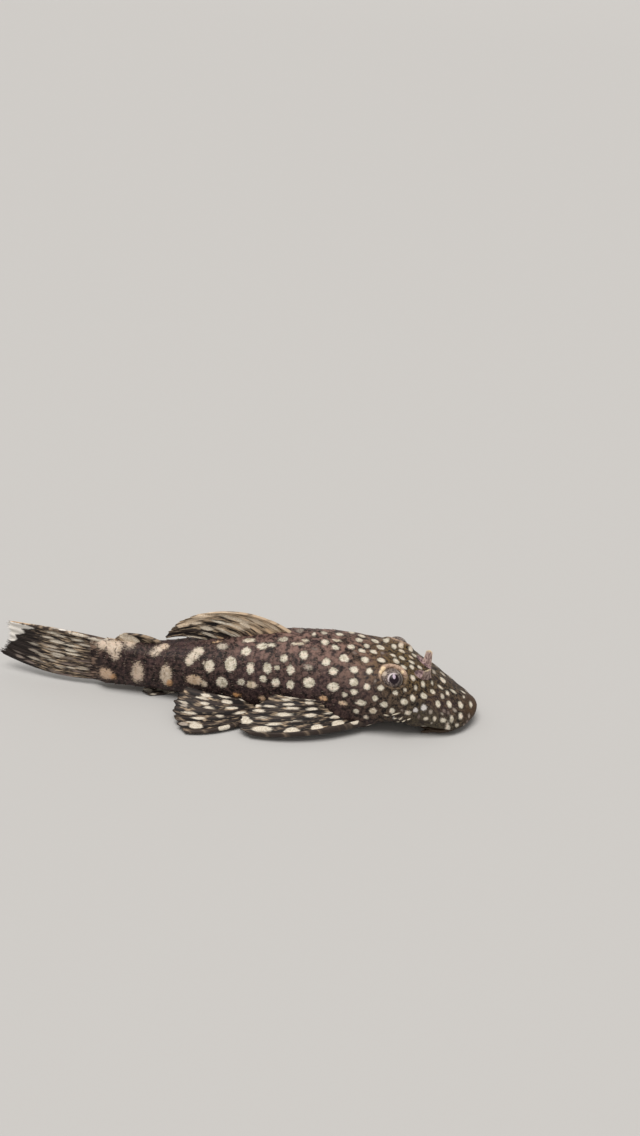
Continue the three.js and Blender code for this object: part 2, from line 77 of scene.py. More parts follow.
# The skin
# One skin covers the head, trunk and tail of a young armoured catfish. It is bare on the belly and
# on the edge of the snout, bone under thin skin on the head, and rows of bony plates behind it.
# Lengths are in millimetres. Outlines pair a share of the standard length with a value.
STANDARD_LENGTH = 65.5
SNOUT = (32.5, -2.7)
HEAD_TURN = 4
HEAD_END = 22.3
TORSO_END = 47.55
TAIL_END = 66.5
SPINE_ARCS = [(12, 0), (20, 1.11), (36, -7.11), (62, -2), (90, 30)]
BACK_HEIGHT = [
    (0, 0.042), (0.015, 0.053), (0.04, 0.066), (0.08, 0.09), (0.14, 0.126), (0.22, 0.164), (0.32, 0.188),
    (0.42, 0.197), (0.5, 0.196), (0.62, 0.176), (0.76, 0.152), (0.88, 0.137), (1.02, 0.14),
]
HALF_WIDTH = [
    (0, 0), (0.015, 0.056), (0.04, 0.09), (0.08, 0.118), (0.14, 0.136), (0.22, 0.15), (0.32, 0.156),
    (0.42, 0.142), (0.5, 0.127), (0.62, 0.103), (0.76, 0.074), (0.88, 0.05), (1.02, 0.026),
]
KEEL_HEIGHT = [
    (0, 0.042), (0.02, 0.026), (0.05, 0.019), (0.09, 0.032), (0.13, 0.052), (0.2, 0.062), (0.32, 0.06),
    (0.5, 0.06), (0.76, 0.07), (1.02, 0.078),
]
BELLY_HEIGHT = [
    (0, 0.042), (0.012, 0.022), (0.03, 0.017), (0.165, 0.017), (0.2, 0.034), (0.24, 0.026), (0.3, 0),
    (0.7, 0), (0.735, 0.007), (0.78, 0.0155), (0.9, 0.0175), (1.02, 0.0175),
]
BELLY_FLAT = [(0, 0.3), (0.1, 0.55), (0.3, 0.62), (0.5, 0.6), (0.76, 0.4), (1.02, 0.3)]
BACK_SQUARENESS = [(0, 2), (0.2, 2.1), (0.5, 1.85), (0.8, 2.1), (1.02, 2.4)]
FLANK_SQUARENESS = 2.2
# The ring round half of the body has 6 steps down the back, 4 down the flank and 3 along the belly.
RING_STEPS = 13
BACK_SHARE = 6 / RING_STEPS
FLANK_SHARE = 10 / RING_STEPS
HANDS = {"left": 1, "right": -1}


def soft(value, low, high):
    """Rises smoothly from 0 where value is low to 1 where it is high: 3 t squared minus 2 t cubed."""
    t = np.clip((value - low) / (high - low), 0, 1)
    return t * t * (3 - 2 * t)


def plateau(value, begins, full, fades, ends):
    """1 where the value is from full to fades, and smoothly down to 0 where it begins and ends."""
    return soft(value, begins, full) * (1 - soft(value, fades, ends))


def hump(distance, width):
    """A bell curve of the distance, 1 at its middle."""
    return np.exp(-((distance / width) ** 2))


def unit(vectors):
    """Vectors of length 1 in the same directions."""
    return vectors / np.linalg.norm(vectors, axis=-1, keepdims=True)


def outline(knots):
    """A monotone cubic line through knots of share and value. It runs over the square root of the
    share, which rounds the snout, and each slope is the harmonic mean of those beside it."""
    share, value = np.array(knots, float).T
    root = np.sqrt(share)
    span = np.diff(root)
    rise = np.diff(value) / span
    product = rise[:-1] * rise[1:]
    total = np.where(product > 0, rise[:-1] + rise[1:], 1)
    slope = np.concatenate(([rise[0]], np.where(product > 0, 2 * product / total, 0), [rise[-1]]))

    def line(at):
        x = np.clip(np.sqrt(np.maximum(at, 0)), 0, root[-1])
        i = np.maximum(np.searchsorted(root, x), 1) - 1
        t = (x - root[i]) / span[i]
        low = value[i] * (1 + 2 * t) * (1 - t) ** 2 + value[i + 1] * t * t * (3 - 2 * t)
        return low + span[i] * (slope[i] * t * (1 - t) ** 2 - slope[i + 1] * t * t * (1 - t))

    return line


back_height, half_width, keel_height, belly_height, belly_flat, back_squareness = (
    outline(knots)
    for knots in (BACK_HEIGHT, HALF_WIDTH, KEEL_HEIGHT, BELLY_HEIGHT, BELLY_FLAT, BACK_SQUARENESS)
)


def spine_at(s):
    """The point of the middle line at distance s behind the snout, and the heading there. The line
    is a chain of arcs, and each adds its chord at half its bend."""
    s = np.asarray(s, float)
    x, y = np.full(s.shape, SNOUT[0]), np.full(s.shape, SNOUT[1])
    heading = np.full(s.shape, np.radians(HEAD_TURN))
    start = 0
    for until, bend in SPINE_ARCS:
        length = np.minimum(s, until) - start
        if start:
            length = np.maximum(length, 0)
        turned = np.radians(bend) * length / (until - start)
        chord = length * np.sinc(turned / 2 / np.pi)
        x = x - chord * np.cos(heading + turned / 2)
        y = y + chord * np.sin(heading + turned / 2)
        heading = heading + turned
        start = until
    return x, y, heading


def place(s, left, height):
    """A point from its distance behind the snout, its offset to the left and its height."""
    x, y, heading = spine_at(s)
    return np.stack([x + left * np.sin(heading), y + left * np.cos(heading), height + 0 * x], -1)


def level_axes(s):
    """The level directions at distance s behind the snout: ahead and to the left."""
    heading = spine_at(s)[2]
    ahead = np.array([np.cos(heading), -np.sin(heading), 0])
    return ahead, np.array([np.sin(heading), np.cos(heading), 0])


def section(s, ring):
    """The body's section at s: offset from the middle and height. The ring runs from the middle of
    the back (0) to that of the belly (1) over quarters of superellipses and a flat. Past the tail's
    end the section thins away into the tail fin."""
    share = s / STANDARD_LENGTH
    width, top, keel, belly = (
        line(share) * STANDARD_LENGTH for line in (half_width, back_height, keel_height, belly_height)
    )
    width = width * (1 - 0.96 * soft(s, TAIL_END - 1.5, TAIL_END + 1.6))
    width = width * (1 - 0.9 * soft(s, TAIL_END + 1, TAIL_END + 3))
    flat = width * belly_flat(share)
    on_back = np.clip(ring / BACK_SHARE, 0, 1) * np.pi / 2
    on_flank = np.clip((ring - BACK_SHARE) / (FLANK_SHARE - BACK_SHARE), 0, 1) * np.pi / 2
    power = 2 / back_squareness(share)
    is_back, is_flank = ring <= BACK_SHARE, ring <= FLANK_SHARE
    cos_back, cos_flank = np.maximum(np.cos(on_back), 0), np.maximum(np.cos(on_flank), 0)
    out = np.where(is_flank, flat + (width - flat) * cos_flank ** (2 / FLANK_SQUARENESS),
                   flat * (1 - ring) / (1 - FLANK_SHARE))
    height = keel - (keel - belly) * np.sin(on_flank) ** (2 / FLANK_SQUARENESS)
    out = np.where(is_back, width * np.sin(on_back) ** power, out)
    height = np.where(is_back, keel + (top - keel) * cos_back ** power, height)
    return out, height


def body_point(s, ring, side):
    """The point of the body's smooth surface on the left (side 1) or the right (side -1)."""
    out, height = section(s, ring)
    return place(s, side * out, height)


def ring_at(s, offset):
    """The ring share at which the back has a given offset from the middle."""
    share = s / STANDARD_LENGTH
    reach = offset / (half_width(share) * STANDARD_LENGTH)
    return np.arcsin(reach ** (back_squareness(share) / 2)) / (np.pi / 2) * BACK_SHARE


def axes_on_body(s, ring, side):
    """A point of the surface with three directions there: towards the snout, across and outward."""
    step = 0.01
    point = body_point(s, ring, side)
    along = body_point(s + step, ring, side) - body_point(s - step, ring, side)
    around = body_point(s, ring + step, side) - body_point(s, ring - step, side)
    outward = unit(np.cross(around, along) * side)
    across = unit(np.cross(outward, level_axes(s)[0]))
    return point, np.cross(across, outward), across, outward


def in_axes(points, axes):
    """The points' places along the three directions of a feature on the body."""
    point, forward, across, outward = axes
    gap = points - point
    return gap @ forward, gap @ across, gap @ outward


# The grid of the skin: rows run round the body, closer together on the head near the eyes and the
# nostrils, and seven to each plate behind it. Distances on the head are spaced by their roots.
def spaced(places, density, count):
    """Positions from the first place to the last, closer where the density between places is
    higher: equal steps of the density's running sum."""
    fine = np.linspace(places[0], places[-1], 4000)
    total = np.cumsum(np.interp(fine, places, density))
    return np.interp(np.linspace(total[0], total[-1], count), total, fine)


HEAD_ROWS = 190
HEAD_ROOTS = [0.04, 1, 2, 2.8, 2.9, 3.35, 3.45, 4.28, 4.4, HEAD_END ** 0.5]
HEAD_DENSITIES = [25, 20, 25, 45, 60, 60, 85, 85, 50, 45]
TORSO_PLATES = 15
TAIL_PLATES = 11
PLATE_FRACTIONS = np.array([0, 0.08, 0.3, 0.55, 0.78, 0.9, 0.95])
PLATE_RISES = np.array([0, 0.16, 0.42, 0.7, 0.92, 1, 0.84])
END_ROWS = 12
END_LENGTH = 2.6
BACK_PLACES = [0, 0.2, 0.27, 0.6, 0.68, 1]
BACK_DENSITIES = [1, 1, 1.8, 1.8, 1.1, 1]
BACK_POINTS, FLANK_POINTS, BELLY_POINTS = 97, 21, 15
head_roots = spaced(HEAD_ROOTS, HEAD_DENSITIES, HEAD_ROWS)
fronts = np.concatenate((np.linspace(HEAD_END, TORSO_END, TORSO_PLATES + 1)[:-1],
                         np.linspace(TORSO_END, TAIL_END, TAIL_PLATES + 1)))
plate_rows = (fronts[:-1, None] + np.diff(fronts)[:, None] * PLATE_FRACTIONS).ravel()
end_rows = np.linspace(TAIL_END, TAIL_END + END_LENGTH, END_ROWS)
rows = np.concatenate((head_roots[:-1] ** 2, plate_rows, end_rows))
plate_rise = np.concatenate((np.zeros(HEAD_ROWS - 1), np.tile(PLATE_RISES, TORSO_PLATES + TAIL_PLATES),
                             np.zeros(END_ROWS)))[:, None]
back_ring = spaced(BACK_PLACES, BACK_DENSITIES, BACK_POINTS) * BACK_SHARE
half_ring = np.concatenate((back_ring, np.linspace(BACK_SHARE, FLANK_SHARE, FLANK_POINTS)[1:],
                            np.linspace(FLANK_SHARE, 1, BELLY_POINTS)[1:]))
ring = np.concatenate((half_ring, half_ring[-2:0:-1]))
side = np.concatenate((np.ones(len(half_ring)), -np.ones(len(half_ring) - 2)))
AROUND = len(ring)

# Plates: five rows a side, each plate with a low keel that ends in a point, laid over the next one.
# The head's hind border reaches back at the nape and forward at the gill, and the rows near it lean.
PLATE = {"point": 0.34, "rise": 0.055, "keel": 0.07, "groove": 0.01, "groove_width": 0.14}
NAPE_REACH = 2.8
GILL_REACH = -1.8
HEAD_SHIELD = 0.07
SNOUT_RIDGE = {"height": 0.1, "width": 1.3}
LUMPS = 0.035
rows = rows[:, None]
on_keel = 1 - np.abs(2 * (ring * RING_STEPS / 2 % 1) - 1)
is_plated = 1 - soft(ring, 9.2 / RING_STEPS, FLANK_SHARE)
across_back = np.sin(np.minimum(ring / BACK_SHARE, 1) * np.pi / 2) ** 2
reach = NAPE_REACH + (GILL_REACH - NAPE_REACH) * across_back
lean = plateau(rows, 9, HEAD_END - 0.5, HEAD_END + 0.5, 36) * reach
on_plates = plateau(rows, HEAD_END - 1, HEAD_END, TAIL_END - 1.5, TAIL_END)
grid_s = rows + lean + PLATE["point"] * on_keel ** 1.2 * is_plated * on_plates
grid_ring = np.broadcast_to(ring, grid_s.shape)
smooth = body_point(grid_s, grid_ring, side)
around = np.roll(smooth, -1, 1) - np.roll(smooth, 1, 1)
normals = unit(np.cross(around, np.gradient(smooth, axis=0)))
girth = np.cumsum(np.linalg.norm(np.diff(smooth[:, : len(half_ring)], axis=1), axis=2), axis=1)
girth = np.concatenate((np.zeros((len(rows), 1)), girth), axis=1)
girth = np.concatenate((girth, girth[:, -2:0:-1]), axis=1)

raised = plate_rise * PLATE["rise"] + PLATE["keel"] * on_keel ** 1.5 * plate_rise ** 0.3
raised = raised - PLATE["groove"] * hump(on_keel, PLATE["groove_width"])
raised = raised * is_plated * on_plates
raised = raised + HEAD_SHIELD * plateau(rows, 17, HEAD_END - 0.6, HEAD_END - 0.3, HEAD_END) * is_plated
ridge = SNOUT_RIDGE["height"] * hump(girth, SNOUT_RIDGE["width"])
raised = raised + ridge * plateau(rows, 1.5, 5, 9, 14)
x_mm, y_mm, z_mm = np.moveaxis(smooth, -1, 0)
lumps = np.sin(1.3 * x_mm + 0.8 * z_mm) * np.sin(1.1 * y_mm + 2) + np.sin(2.1 * x_mm - 1.7 * y_mm + z_mm)
raised = raised + LUMPS * lumps * (1 - soft(ring, 0.7, 0.8))
skin_points = smooth + normals * raised[..., None]

# Eyes stand out in a soft swelling, each in a raised rim. The lid is the rim's inner wall, which
# hugs the ball, and it is thickest above.
EYE = {"s": 14.9, "offset": 6.3, "radius": 2.05, "sunk": 1.15, "bulge": 0.45, "spread": 2.5}
RIM = {"edge": 1.9, "hood": 0.22, "crest": 0.3, "brow": 0.42, "shoulder": 0.16, "drop": 1.3,
       "held": 2.05, "skirt": 2.9, "oval": 1.12, "ball_oval": 1.03}
LID = {"inner": 2.08, "outer": 2.3, "least": 0.12}
# Cream patches on the lids: places ahead of and above the eye's middle, and widths
CREAM_PATCHES = [(-1.85, 1.0, 0.55), (-2.15, 0.35, 0.4), (1.45, 1.3, 0.34)]
CREAM_LINE = {"reach": 2.12, "width": 0.1, "share": 0.44}
OUT_OF_REACH = 20
eyes = {}
rim_share = np.zeros(grid_s.shape)
cream_share = np.zeros(grid_s.shape)
for word, hand in HANDS.items():
    axes = axes_on_body(EYE["s"], ring_at(EYE["s"], EYE["offset"]), hand)
    centre = axes[0] + axes[3] * (EYE["bulge"] - EYE["sunk"])
    eyes[word] = centre
    swelling = EYE["bulge"] * hump(np.linalg.norm(smooth - centre, axis=-1), EYE["spread"] * 2 ** 0.5)
    skin_points = skin_points + normals * swelling[..., None]
    forward, across, outward = in_axes(skin_points, axes)
    upward = -hand * across
    far = OUT_OF_REACH * (outward < -4)
    from_ball = np.hypot(forward / RIM["ball_oval"], across) + far
    from_eye = np.hypot(forward / RIM["oval"], across) + far
    brow = soft(upward / (from_eye + 0.01), -0.2, 0.9)
    edge = RIM["edge"] - RIM["hood"] * brow
    shoulder = (RIM["shoulder"] + 0.1 * brow) * soft(edge + 0.25 - from_ball, 0, 0.25)
    drop = RIM["drop"] * soft(edge - from_ball, 0, 0.16)
    target = RIM["crest"] + RIM["brow"] * brow - shoulder - drop
    held = 1 - soft(from_eye, RIM["held"] + 0.25 * brow, RIM["skirt"])
    skin_points = skin_points + axes[3] * ((target - outward) * held)[..., None]
    is_lid = 1 - soft(from_eye, LID["inner"] + 0.3 * brow, LID["outer"] + 0.35 * brow)
    # Painted light: the lid's pale colour is full above and behind, where the light falls, and fades to a
    # little of it below.
    lid_painted_light = LID["least"] + (1 - LID["least"]) * soft(upward - 0.3 * forward, -0.9, 0.9)
    rim_share = np.maximum(rim_share, is_lid * lid_painted_light)
    for ahead_at, up_at, wide in CREAM_PATCHES:
        gap = np.hypot(forward - ahead_at, upward - up_at) + far
        cream_share = np.maximum(cream_share, hump(gap, wide))
    under_eye = hump(from_ball - CREAM_LINE["reach"], CREAM_LINE["width"])
    under_eye = under_eye * soft(-upward - 0.4 * forward, 0.5, 1.4)
    cream_share = np.maximum(cream_share, CREAM_LINE["share"] * under_eye)

# Nostrils: an oval dish with a low rim on each side of the snout
NOSTRIL = {"s": 9.95, "offset": 2.35, "length": 1.7, "width": 1.0, "depth": 0.3, "rim": 0.07,
           "fold": 0.09, "turn": 0.65}
nostrils = {}
nostril_share = np.zeros(grid_s.shape)
for word, hand in HANDS.items():
    axes = axes_on_body(NOSTRIL["s"], ring_at(NOSTRIL["s"], NOSTRIL["offset"]), hand)
    nostrils[word] = axes
    forward, across, outward = in_axes(smooth, axes)
    turned = hand * NOSTRIL["turn"]
    lengthwise = forward * np.cos(turned) - across * np.sin(turned)
    crosswise = forward * np.sin(turned) + across * np.cos(turned)
    oval = np.hypot(lengthwise / NOSTRIL["length"], crosswise / NOSTRIL["width"])
    oval = oval + OUT_OF_REACH * (outward < -3)
    dish = -NOSTRIL["depth"] * (1 - soft(oval, 0.35, 1)) + NOSTRIL["rim"] * hump(oval - 1.12, 0.2)
    dish = dish + NOSTRIL["fold"] * np.sin(9 * forward) * (1 - soft(oval, 0.5, 0.95))
    skin_points = skin_points + axes[3] * dish[..., None]
    nostril_share = np.maximum(nostril_share, 1 - soft(oval, 0.95, 1.2))
skin_points[..., 2] = np.maximum(skin_points[..., 2], 0)

# Spots. Those that the photograph shows are placed at their pixels, with half their length and half
# their width in pixels and a tint: -1 dim, 0 cream, 1 orange and 2 white.
SNOUT_SPOTS = [
    (421, 662, 3, 1.5, 0), (420, 667, 3, 1.5, 0), (434, 672, 2.5, 2, -0.5), (443, 674, 4, 1, -0.4),
    (443, 680, 4, 2, 0), (432, 683, 1.5, 2, -0.1), (423, 684, 2.5, 3, 0), (440, 687, 3.5, 1.5, 0.2),
    (433, 692, 3, 2.5, 0), (453, 691, 3.5, 1.3, -0.1), (463, 692, 3, 1.1, 0.1), (448, 693, 2.5, 2.5, 0),
    (424, 696, 3.5, 3, 0), (442, 696, 2.5, 2.5, -0.35), (464, 697, 1.5, 1.4, 0), (438, 704, 3, 3.5, 0),
    (449, 704, 3, 3.5, 0), (461, 705, 3, 3.5, 0), (471, 704, 2, 3, -0.1), (424, 708, 3, 3.5, 2),
    (416, 710, 2.5, 2.5, 2), (431, 712, 2, 2.5, -0.6), (455, 710, 2.5, 2, -0.6), (444, 711, 2, 2, -0.8),
    (442, 714, 1.4, 1.2, -0.5), (448, 713, 1.4, 2, -0.8), (469, 716, 1.5, 2.5, -0.6),
    (461, 716, 2.5, 3.5, 0), (452, 719, 2, 4, 0.1), (435, 719, 2, 3, 0.25), (426, 719, 3, 2, 0.2),
    (443, 720, 3, 2.5, 0), (457, 725, 2, 2, 0), (447, 731, 3, 2.5, 0), (465, 727, 1.4, 1.2, -0.6),
    (432, 723, 1.2, 1.4, -0.4), (467, 722, 1.5, 2, -0.8), (419, 717, 1.5, 2.5, -0.8),
]
CROWN_SPOTS = [
    (375, 641, 4.5, 1.5, 0), (386, 640, 3.5, 1.4, 0), (367, 646, 3, 2, 0), (381, 647, 4.5, 2, 0),
    (394, 646, 3, 2, 0), (401, 646, 3, 1.4, 0.3), (411, 649, 3, 1.2, 0), (362, 651, 4, 2, 0),
    (374, 652, 4, 2, 0), (402, 651, 3.5, 1.5, 0.3), (382, 653, 2.5, 1.5, -0.8), (393, 655, 3.5, 1.5, 0),
    (414, 655, 3, 1, 0), (411, 657, 3, 1, 0.4), (402, 658, 3.5, 1.5, 0.2), (365, 660, 4, 3, 0),
    (381, 660, 4.5, 2.5, 0), (396, 661, 3.5, 2.5, 0), (412, 662, 3.5, 1.5, 0.1), (404, 667, 3.5, 2, 0),
    (412, 667, 3, 2, 0),
]
CHEEK_SPOTS = [
    (369, 671, 3.5, 3.5, 0), (413, 678, 3, 3, 0), (375, 681, 1.3, 2, -0.7), (416, 688, 2, 2.5, -0.3),
    (367, 687, 3.5, 3.5, 0), (381, 688, 3.5, 3, 0), (405, 690, 2, 2, -0.3), (395, 693, 3, 2.5, 0),
    (375, 698, 3, 3, 0), (413, 698, 3, 3.5, 0), (361, 703, 5.5, 3, 0), (404, 702, 4, 3, 0),
    (384, 705, 4, 3, 0), (392, 711, 3, 3, 0.1), (373, 711, 4, 3, 0.3), (408, 713, 3.5, 2.5, 0.2),
    (402, 710, 1.5, 1.2, -0.7), (366, 717, 3, 2, 0.2), (357, 711, 3, 2.5, 0.1), (394, 718, 1.2, 1.2, 2),
    (386, 716, 2.5, 0.9, -0.2), (400, 719, 3, 1.4, -0.6),
]
TRUNK_SPOTS = [
    (314, 634, 2, 2, 0.1), (300, 630, 4, 2, -0.7), (325, 633, 3.5, 1.5, -0.4), (340, 634, 4, 1.5, 0.1),
    (352, 632, 3.5, 0.9, 0.1), (362, 636, 4, 1.1, 0.1), (359, 640, 4, 2, 0.1), (324, 642, 4, 3, 0),
    (336, 640, 5, 1.4, 0.3), (336, 647, 4, 2.5, 0), (351, 647, 4, 2.5, 0), (315, 649, 3.5, 1.5, -0.8),
    (305, 641, 4, 1.5, 0.3), (300, 643, 4.5, 1.5, 0.3), (295, 644, 4.5, 1.5, 0.3), (303, 655, 4.5, 4.5, 0),
    (355, 653, 2.5, 1.5, -0.8), (326, 662, 4.5, 4, 0), (344, 658, 5, 4, 0), (308, 667, 4.5, 3, -0.55),
    (291, 670, 4, 5, 0), (354, 670, 4.5, 3.5, 0), (333, 672, 4.5, 4, 0), (354, 682, 4.5, 4, 0),
    (309, 682, 6, 5.5, 0), (333, 687, 6, 4.5, 0), (354, 692, 4, 3, 0), (344, 695, 3, 2.5, -0.3),
    (323, 698, 4, 2.5, 0.7), (343, 703, 4.5, 2.5, 0.5), (284, 658, 4, 4, 0), (246, 651, 5, 4.5, 0),
    (263, 646, 5.5, 3.5, 0), (271, 645, 4, 2, 0), (248, 640, 6.5, 2.5, 0.2), (283, 639, 5, 2.5, -0.3),
    (210, 666, 5, 6.5, 0), (204, 663, 1.5, 2, 0), (230, 664, 6, 8, 0), (251, 668, 4, 6, 0),
    (268, 668, 4.5, 5.5, 0), (276, 668, 3, 2.5, 0), (218, 642, 4, 1, 0.6), (223, 646, 6, 3, -0.45),
    (194, 680, 8.5, 5, 0.45), (204, 684, 3.5, 3, 0.3), (222, 682, 6, 5.5, 0.15), (241, 682, 4, 3.5, -0.25),
    (252, 685, 6, 3.5, 0.35), (263, 679, 3.5, 3.5, -0.15), (275, 682, 4.5, 4.5, 0), (290, 685, 4, 4.5, 0),
    (237, 694, 4, 2, 0.9), (262, 698, 4, 2.5, 0.6),
]
TAIL_SPOTS = [
    (198, 651, 6, 4.5, 0), (194, 656, 6, 4.5, -0.1), (189, 661, 4.5, 4.5, -0.1), (131, 639, 8, 2.5, 0.1),
    (164, 646, 5, 3.5, 0.3), (159, 649, 5.5, 3.5, 0.15), (154, 653, 5, 3, 0), (114, 646, 9, 8.5, 0.05),
    (103, 644, 12, 5.5, -0.1), (115, 655, 4.5, 5.5, 0.05), (137, 673, 6.5, 10.5, 0.25),
    (166, 676, 6, 10.5, 0.25), (168, 682, 4.5, 4.5, 0.8), (106, 674, 7.5, 6, 0.45), (111, 677, 4.5, 3, 0.7),
]
# The spots out of sight, by distance behind the snout: their radii and the gaps between their centres
SPOT_PLACES = [0, 3, 8, 13, 18, 24, 32, 42, 52, 66]
SPOT_RADII = [0.3, 0.4, 0.5, 0.56, 0.6, 0.72, 0.84, 0.95, 1.15, 1.25]
SPOT_SPACINGS = [1.4, 1.6, 1.85, 2.05, 2.25, 2.8, 3.3, 3.9, 4.8, 5.2]


def farthest(points, spacing, shares, limit):
    """Indices of points that spread evenly: each next one is where the share of the spacing to the
    nearest one so far is largest, until that share falls to the limit."""
    chosen = []
    shares = shares.copy()
    while shares.max() > limit:
        best = int(np.argmax(shares))
        chosen.append(best)
        shares = np.minimum(shares, np.linalg.norm(points - points[best], axis=1) / spacing)
    return chosen


def mark_distance(points, marks):
    """The distance from the edge of the nearest oval mark, negative inside it, and the tint there,
    a mean of the marks' tints that weighs near ones most. A mark is a centre, a direction, half its
    length, half its width and a tint."""
    nearest = np.full(len(points), 1e3)
    tint = np.zeros(len(points))
    weights = np.full(len(points), 1e-30)
    for centre, direction, length, width, shade in marks:
        gap = points - centre
        along = gap @ direction
        rest = np.maximum((gap ** 2).sum(1) - along ** 2, 0)
        distance = (np.sqrt((along / length) ** 2 + rest / width ** 2) - 1) * min(length, width)
        nearest = np.minimum(nearest, distance)
        weight = np.exp(-np.minimum(distance, 2) * 30)
        weights = weights + weight
        tint = tint + weight * shade
    return nearest, tint / weights


def pixels_per_mm(point, direction):
    """How many of the photo's pixels a millimetre in this direction takes up at the point."""
    return np.linalg.norm(in_photo(point + direction) - in_photo(point))


SEEN = 0.12
UNSEEN = 0.1
TWIN_SHIFT = 1.1
CLOSEST = 0.84
dice = np.random.default_rng(11)
flat_points = skin_points.reshape(-1, 3)
flat_s = grid_s.ravel()
flat_ring = grid_ring.ravel()
flat_side = np.broadcast_to(side, grid_s.shape).ravel()
to_lens = unit(np.array(lens_at) / MM - flat_points)
turned_to_lens = (normals.reshape(-1, 3) * to_lens).sum(1)
in_view = np.flatnonzero(turned_to_lens > SEEN)
view_pixels = in_photo(flat_points[in_view])
skin_marks = []
twins = []


def seen_at(x, y):
    """The index of the point of the skin that the photograph shows at a pixel."""
    return in_view[np.argmin(np.linalg.norm(view_pixels - (x, y), axis=1))]


for x, y, long, wide, shade in SNOUT_SPOTS + CROWN_SPOTS + CHEEK_SPOTS + TRUNK_SPOTS + TAIL_SPOTS:
    at = seen_at(x, y)
    place_s, place_ring, place_side = flat_s[at], flat_ring[at], flat_side[at]
    _, ahead, across, _ = axes_on_body(place_s, max(place_ring, 0.02), place_side)
    length = long / pixels_per_mm(flat_points[at], ahead)
    width = min(wide / pixels_per_mm(flat_points[at], across), 1.5 * length + 0.6)
    skin_marks.append((flat_points[at], ahead, length, width, shade))
    if place_s > 28 and place_side < 0 and place_ring > 0.1:
        twin_s = place_s + dice.uniform(-TWIN_SHIFT, TWIN_SHIFT)
        twin_ring = np.clip(place_ring + dice.uniform(-0.03, 0.03), 0.05, 0.7)
        opposite, ahead, _, _ = axes_on_body(twin_s, twin_ring, HANDS["left"])
        length = length * dice.uniform(0.8, 1.2)
        width = width * dice.uniform(0.8, 1.2)
        twins.append((opposite, ahead, length, width, shade))
skin_marks += twins
may_hold = (flat_s > 1.0) & (flat_s < 64) & (flat_ring < 0.74) & (rim_share.ravel() < 0.02)
may_hold &= (nostril_share.ravel() < 0.02) & (turned_to_lens < UNSEEN)
candidates = flat_points[may_hold]
candidate_s = flat_s[may_hold]
spacing = np.interp(candidate_s, SPOT_PLACES, SPOT_SPACINGS) * (1 + 0.14 * lumps.ravel()[may_hold])
shares = np.full(len(candidates), 9.0)
for point, _, length, width, _ in skin_marks:
    reach = np.linalg.norm(candidates - point, axis=1) - 0.5 * (length + width) + 0.5
    shares = np.minimum(shares, reach / spacing)
for index in farthest(candidates, spacing, shares, CLOSEST):
    radius = np.interp(candidate_s[index], SPOT_PLACES, SPOT_RADII) * dice.uniform(0.75, 1.15)
    longer = dice.uniform(0.9, 1.35)
    shade = dice.choice([0.0, 0.15, -0.3, -0.7], p=[0.55, 0.2, 0.15, 0.1])
    direction = unit(level_axes(candidate_s[index])[0] + [0, 0, dice.uniform(-0.6, 0.3)])
    skin_marks.append((candidates[index], direction, radius * longer, radius / longer, shade))
mark, tint = mark_distance(flat_points, skin_marks)


def grid_faces(row_count, ring_count):
    """Quads of a grid that closes round each row, wound so that they face outwards."""
    a = np.arange((row_count - 1) * ring_count).reshape(-1, ring_count)
    b = np.roll(a, -1, axis=1)
    return np.stack([a, b, b + ring_count, a + ring_count], -1).reshape(-1, 4)


def make_piece(name, points, faces, attributes, nodes=()):
    """A smooth mesh in metres from points in millimetres, with a value for each point under each
    attribute's name. It rides on the fish and stands for the named CAD nodes."""
    mesh = bpy.data.meshes.new(name)
    mesh.from_pydata(points * MM, [], faces, shade_flat=False)
    for word, values in attributes.items():
        kind = "FLOAT" if values.ndim == 1 else "FLOAT_VECTOR"
        key = "value" if values.ndim == 1 else "vector"
        mesh.attributes.new(word, kind, "POINT").data.foreach_set(key, values.astype(np.float32).ravel())
    mesh.update()
    piece = bpy.data.objects.new(name, mesh)
    bpy.context.scene.collection.objects.link(piece)
    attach(piece, "root")
    if nodes:
        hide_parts(*nodes)
    return piece


def closed(points, ring_count):
    """Points and faces of a grid of rings, with a point at each end that the last rings fan to."""
    count = len(points)
    ends = np.stack([points[:ring_count].mean(0), points[-ring_count:].mean(0)])
    faces = grid_faces(count // ring_count, ring_count).tolist()
    first = np.arange(ring_count)
    last = first + count - ring_count
    faces += np.stack([np.full(ring_count, count), np.roll(first, -1), first], -1).tolist()
    faces += np.stack([last, np.roll(last, -1), np.full(ring_count, count + 1)], -1).tolist()
    return np.concatenate((points, ends)), faces


def with_ends(values):
    """Repeats the first and the last of the values for the two end points of a closed grid."""
    return np.concatenate((values, values[:1], values[-1:]))


points, faces = closed(flat_points, AROUND)
rosy = plateau(flat_s, 13, 22, 34, 54) * (1 - soft(flat_ring, 0.12, 0.4))
olive = hump(flat_s - 7, 5.5) * soft(flat_ring, 0.24, 0.42)
margin = (1 - soft(flat_s, 0.8, 3.4)) * (1 - 0.6 * olive)
crown = hump(flat_s - 14, 7) * (1 - soft(flat_ring, 0.12, 0.36))
values_on_skin = {
    "mark": mark,
    "tint": tint,
    "lie": np.stack([flat_s, girth.ravel(), crown], -1),
    "zones": np.stack([rosy, olive, margin], -1),
    "head": 1 - soft(flat_s, 13, 24),
    "in_fin": soft(flat_s, TAIL_END - 2.5, TAIL_END + 1),
    "underside": soft(flat_ring, 0.66, 0.8) * soft(flat_s, 1.5, 4),
    "rim": rim_share.ravel(),
    "cream": cream_share.ravel(),
    "nostril": nostril_share.ravel(),
}
values_on_skin = {word: with_ends(values) for word, values in values_on_skin.items()}
skin = make_piece("skin", points, faces, values_on_skin, ["head", "torso", "tail"])


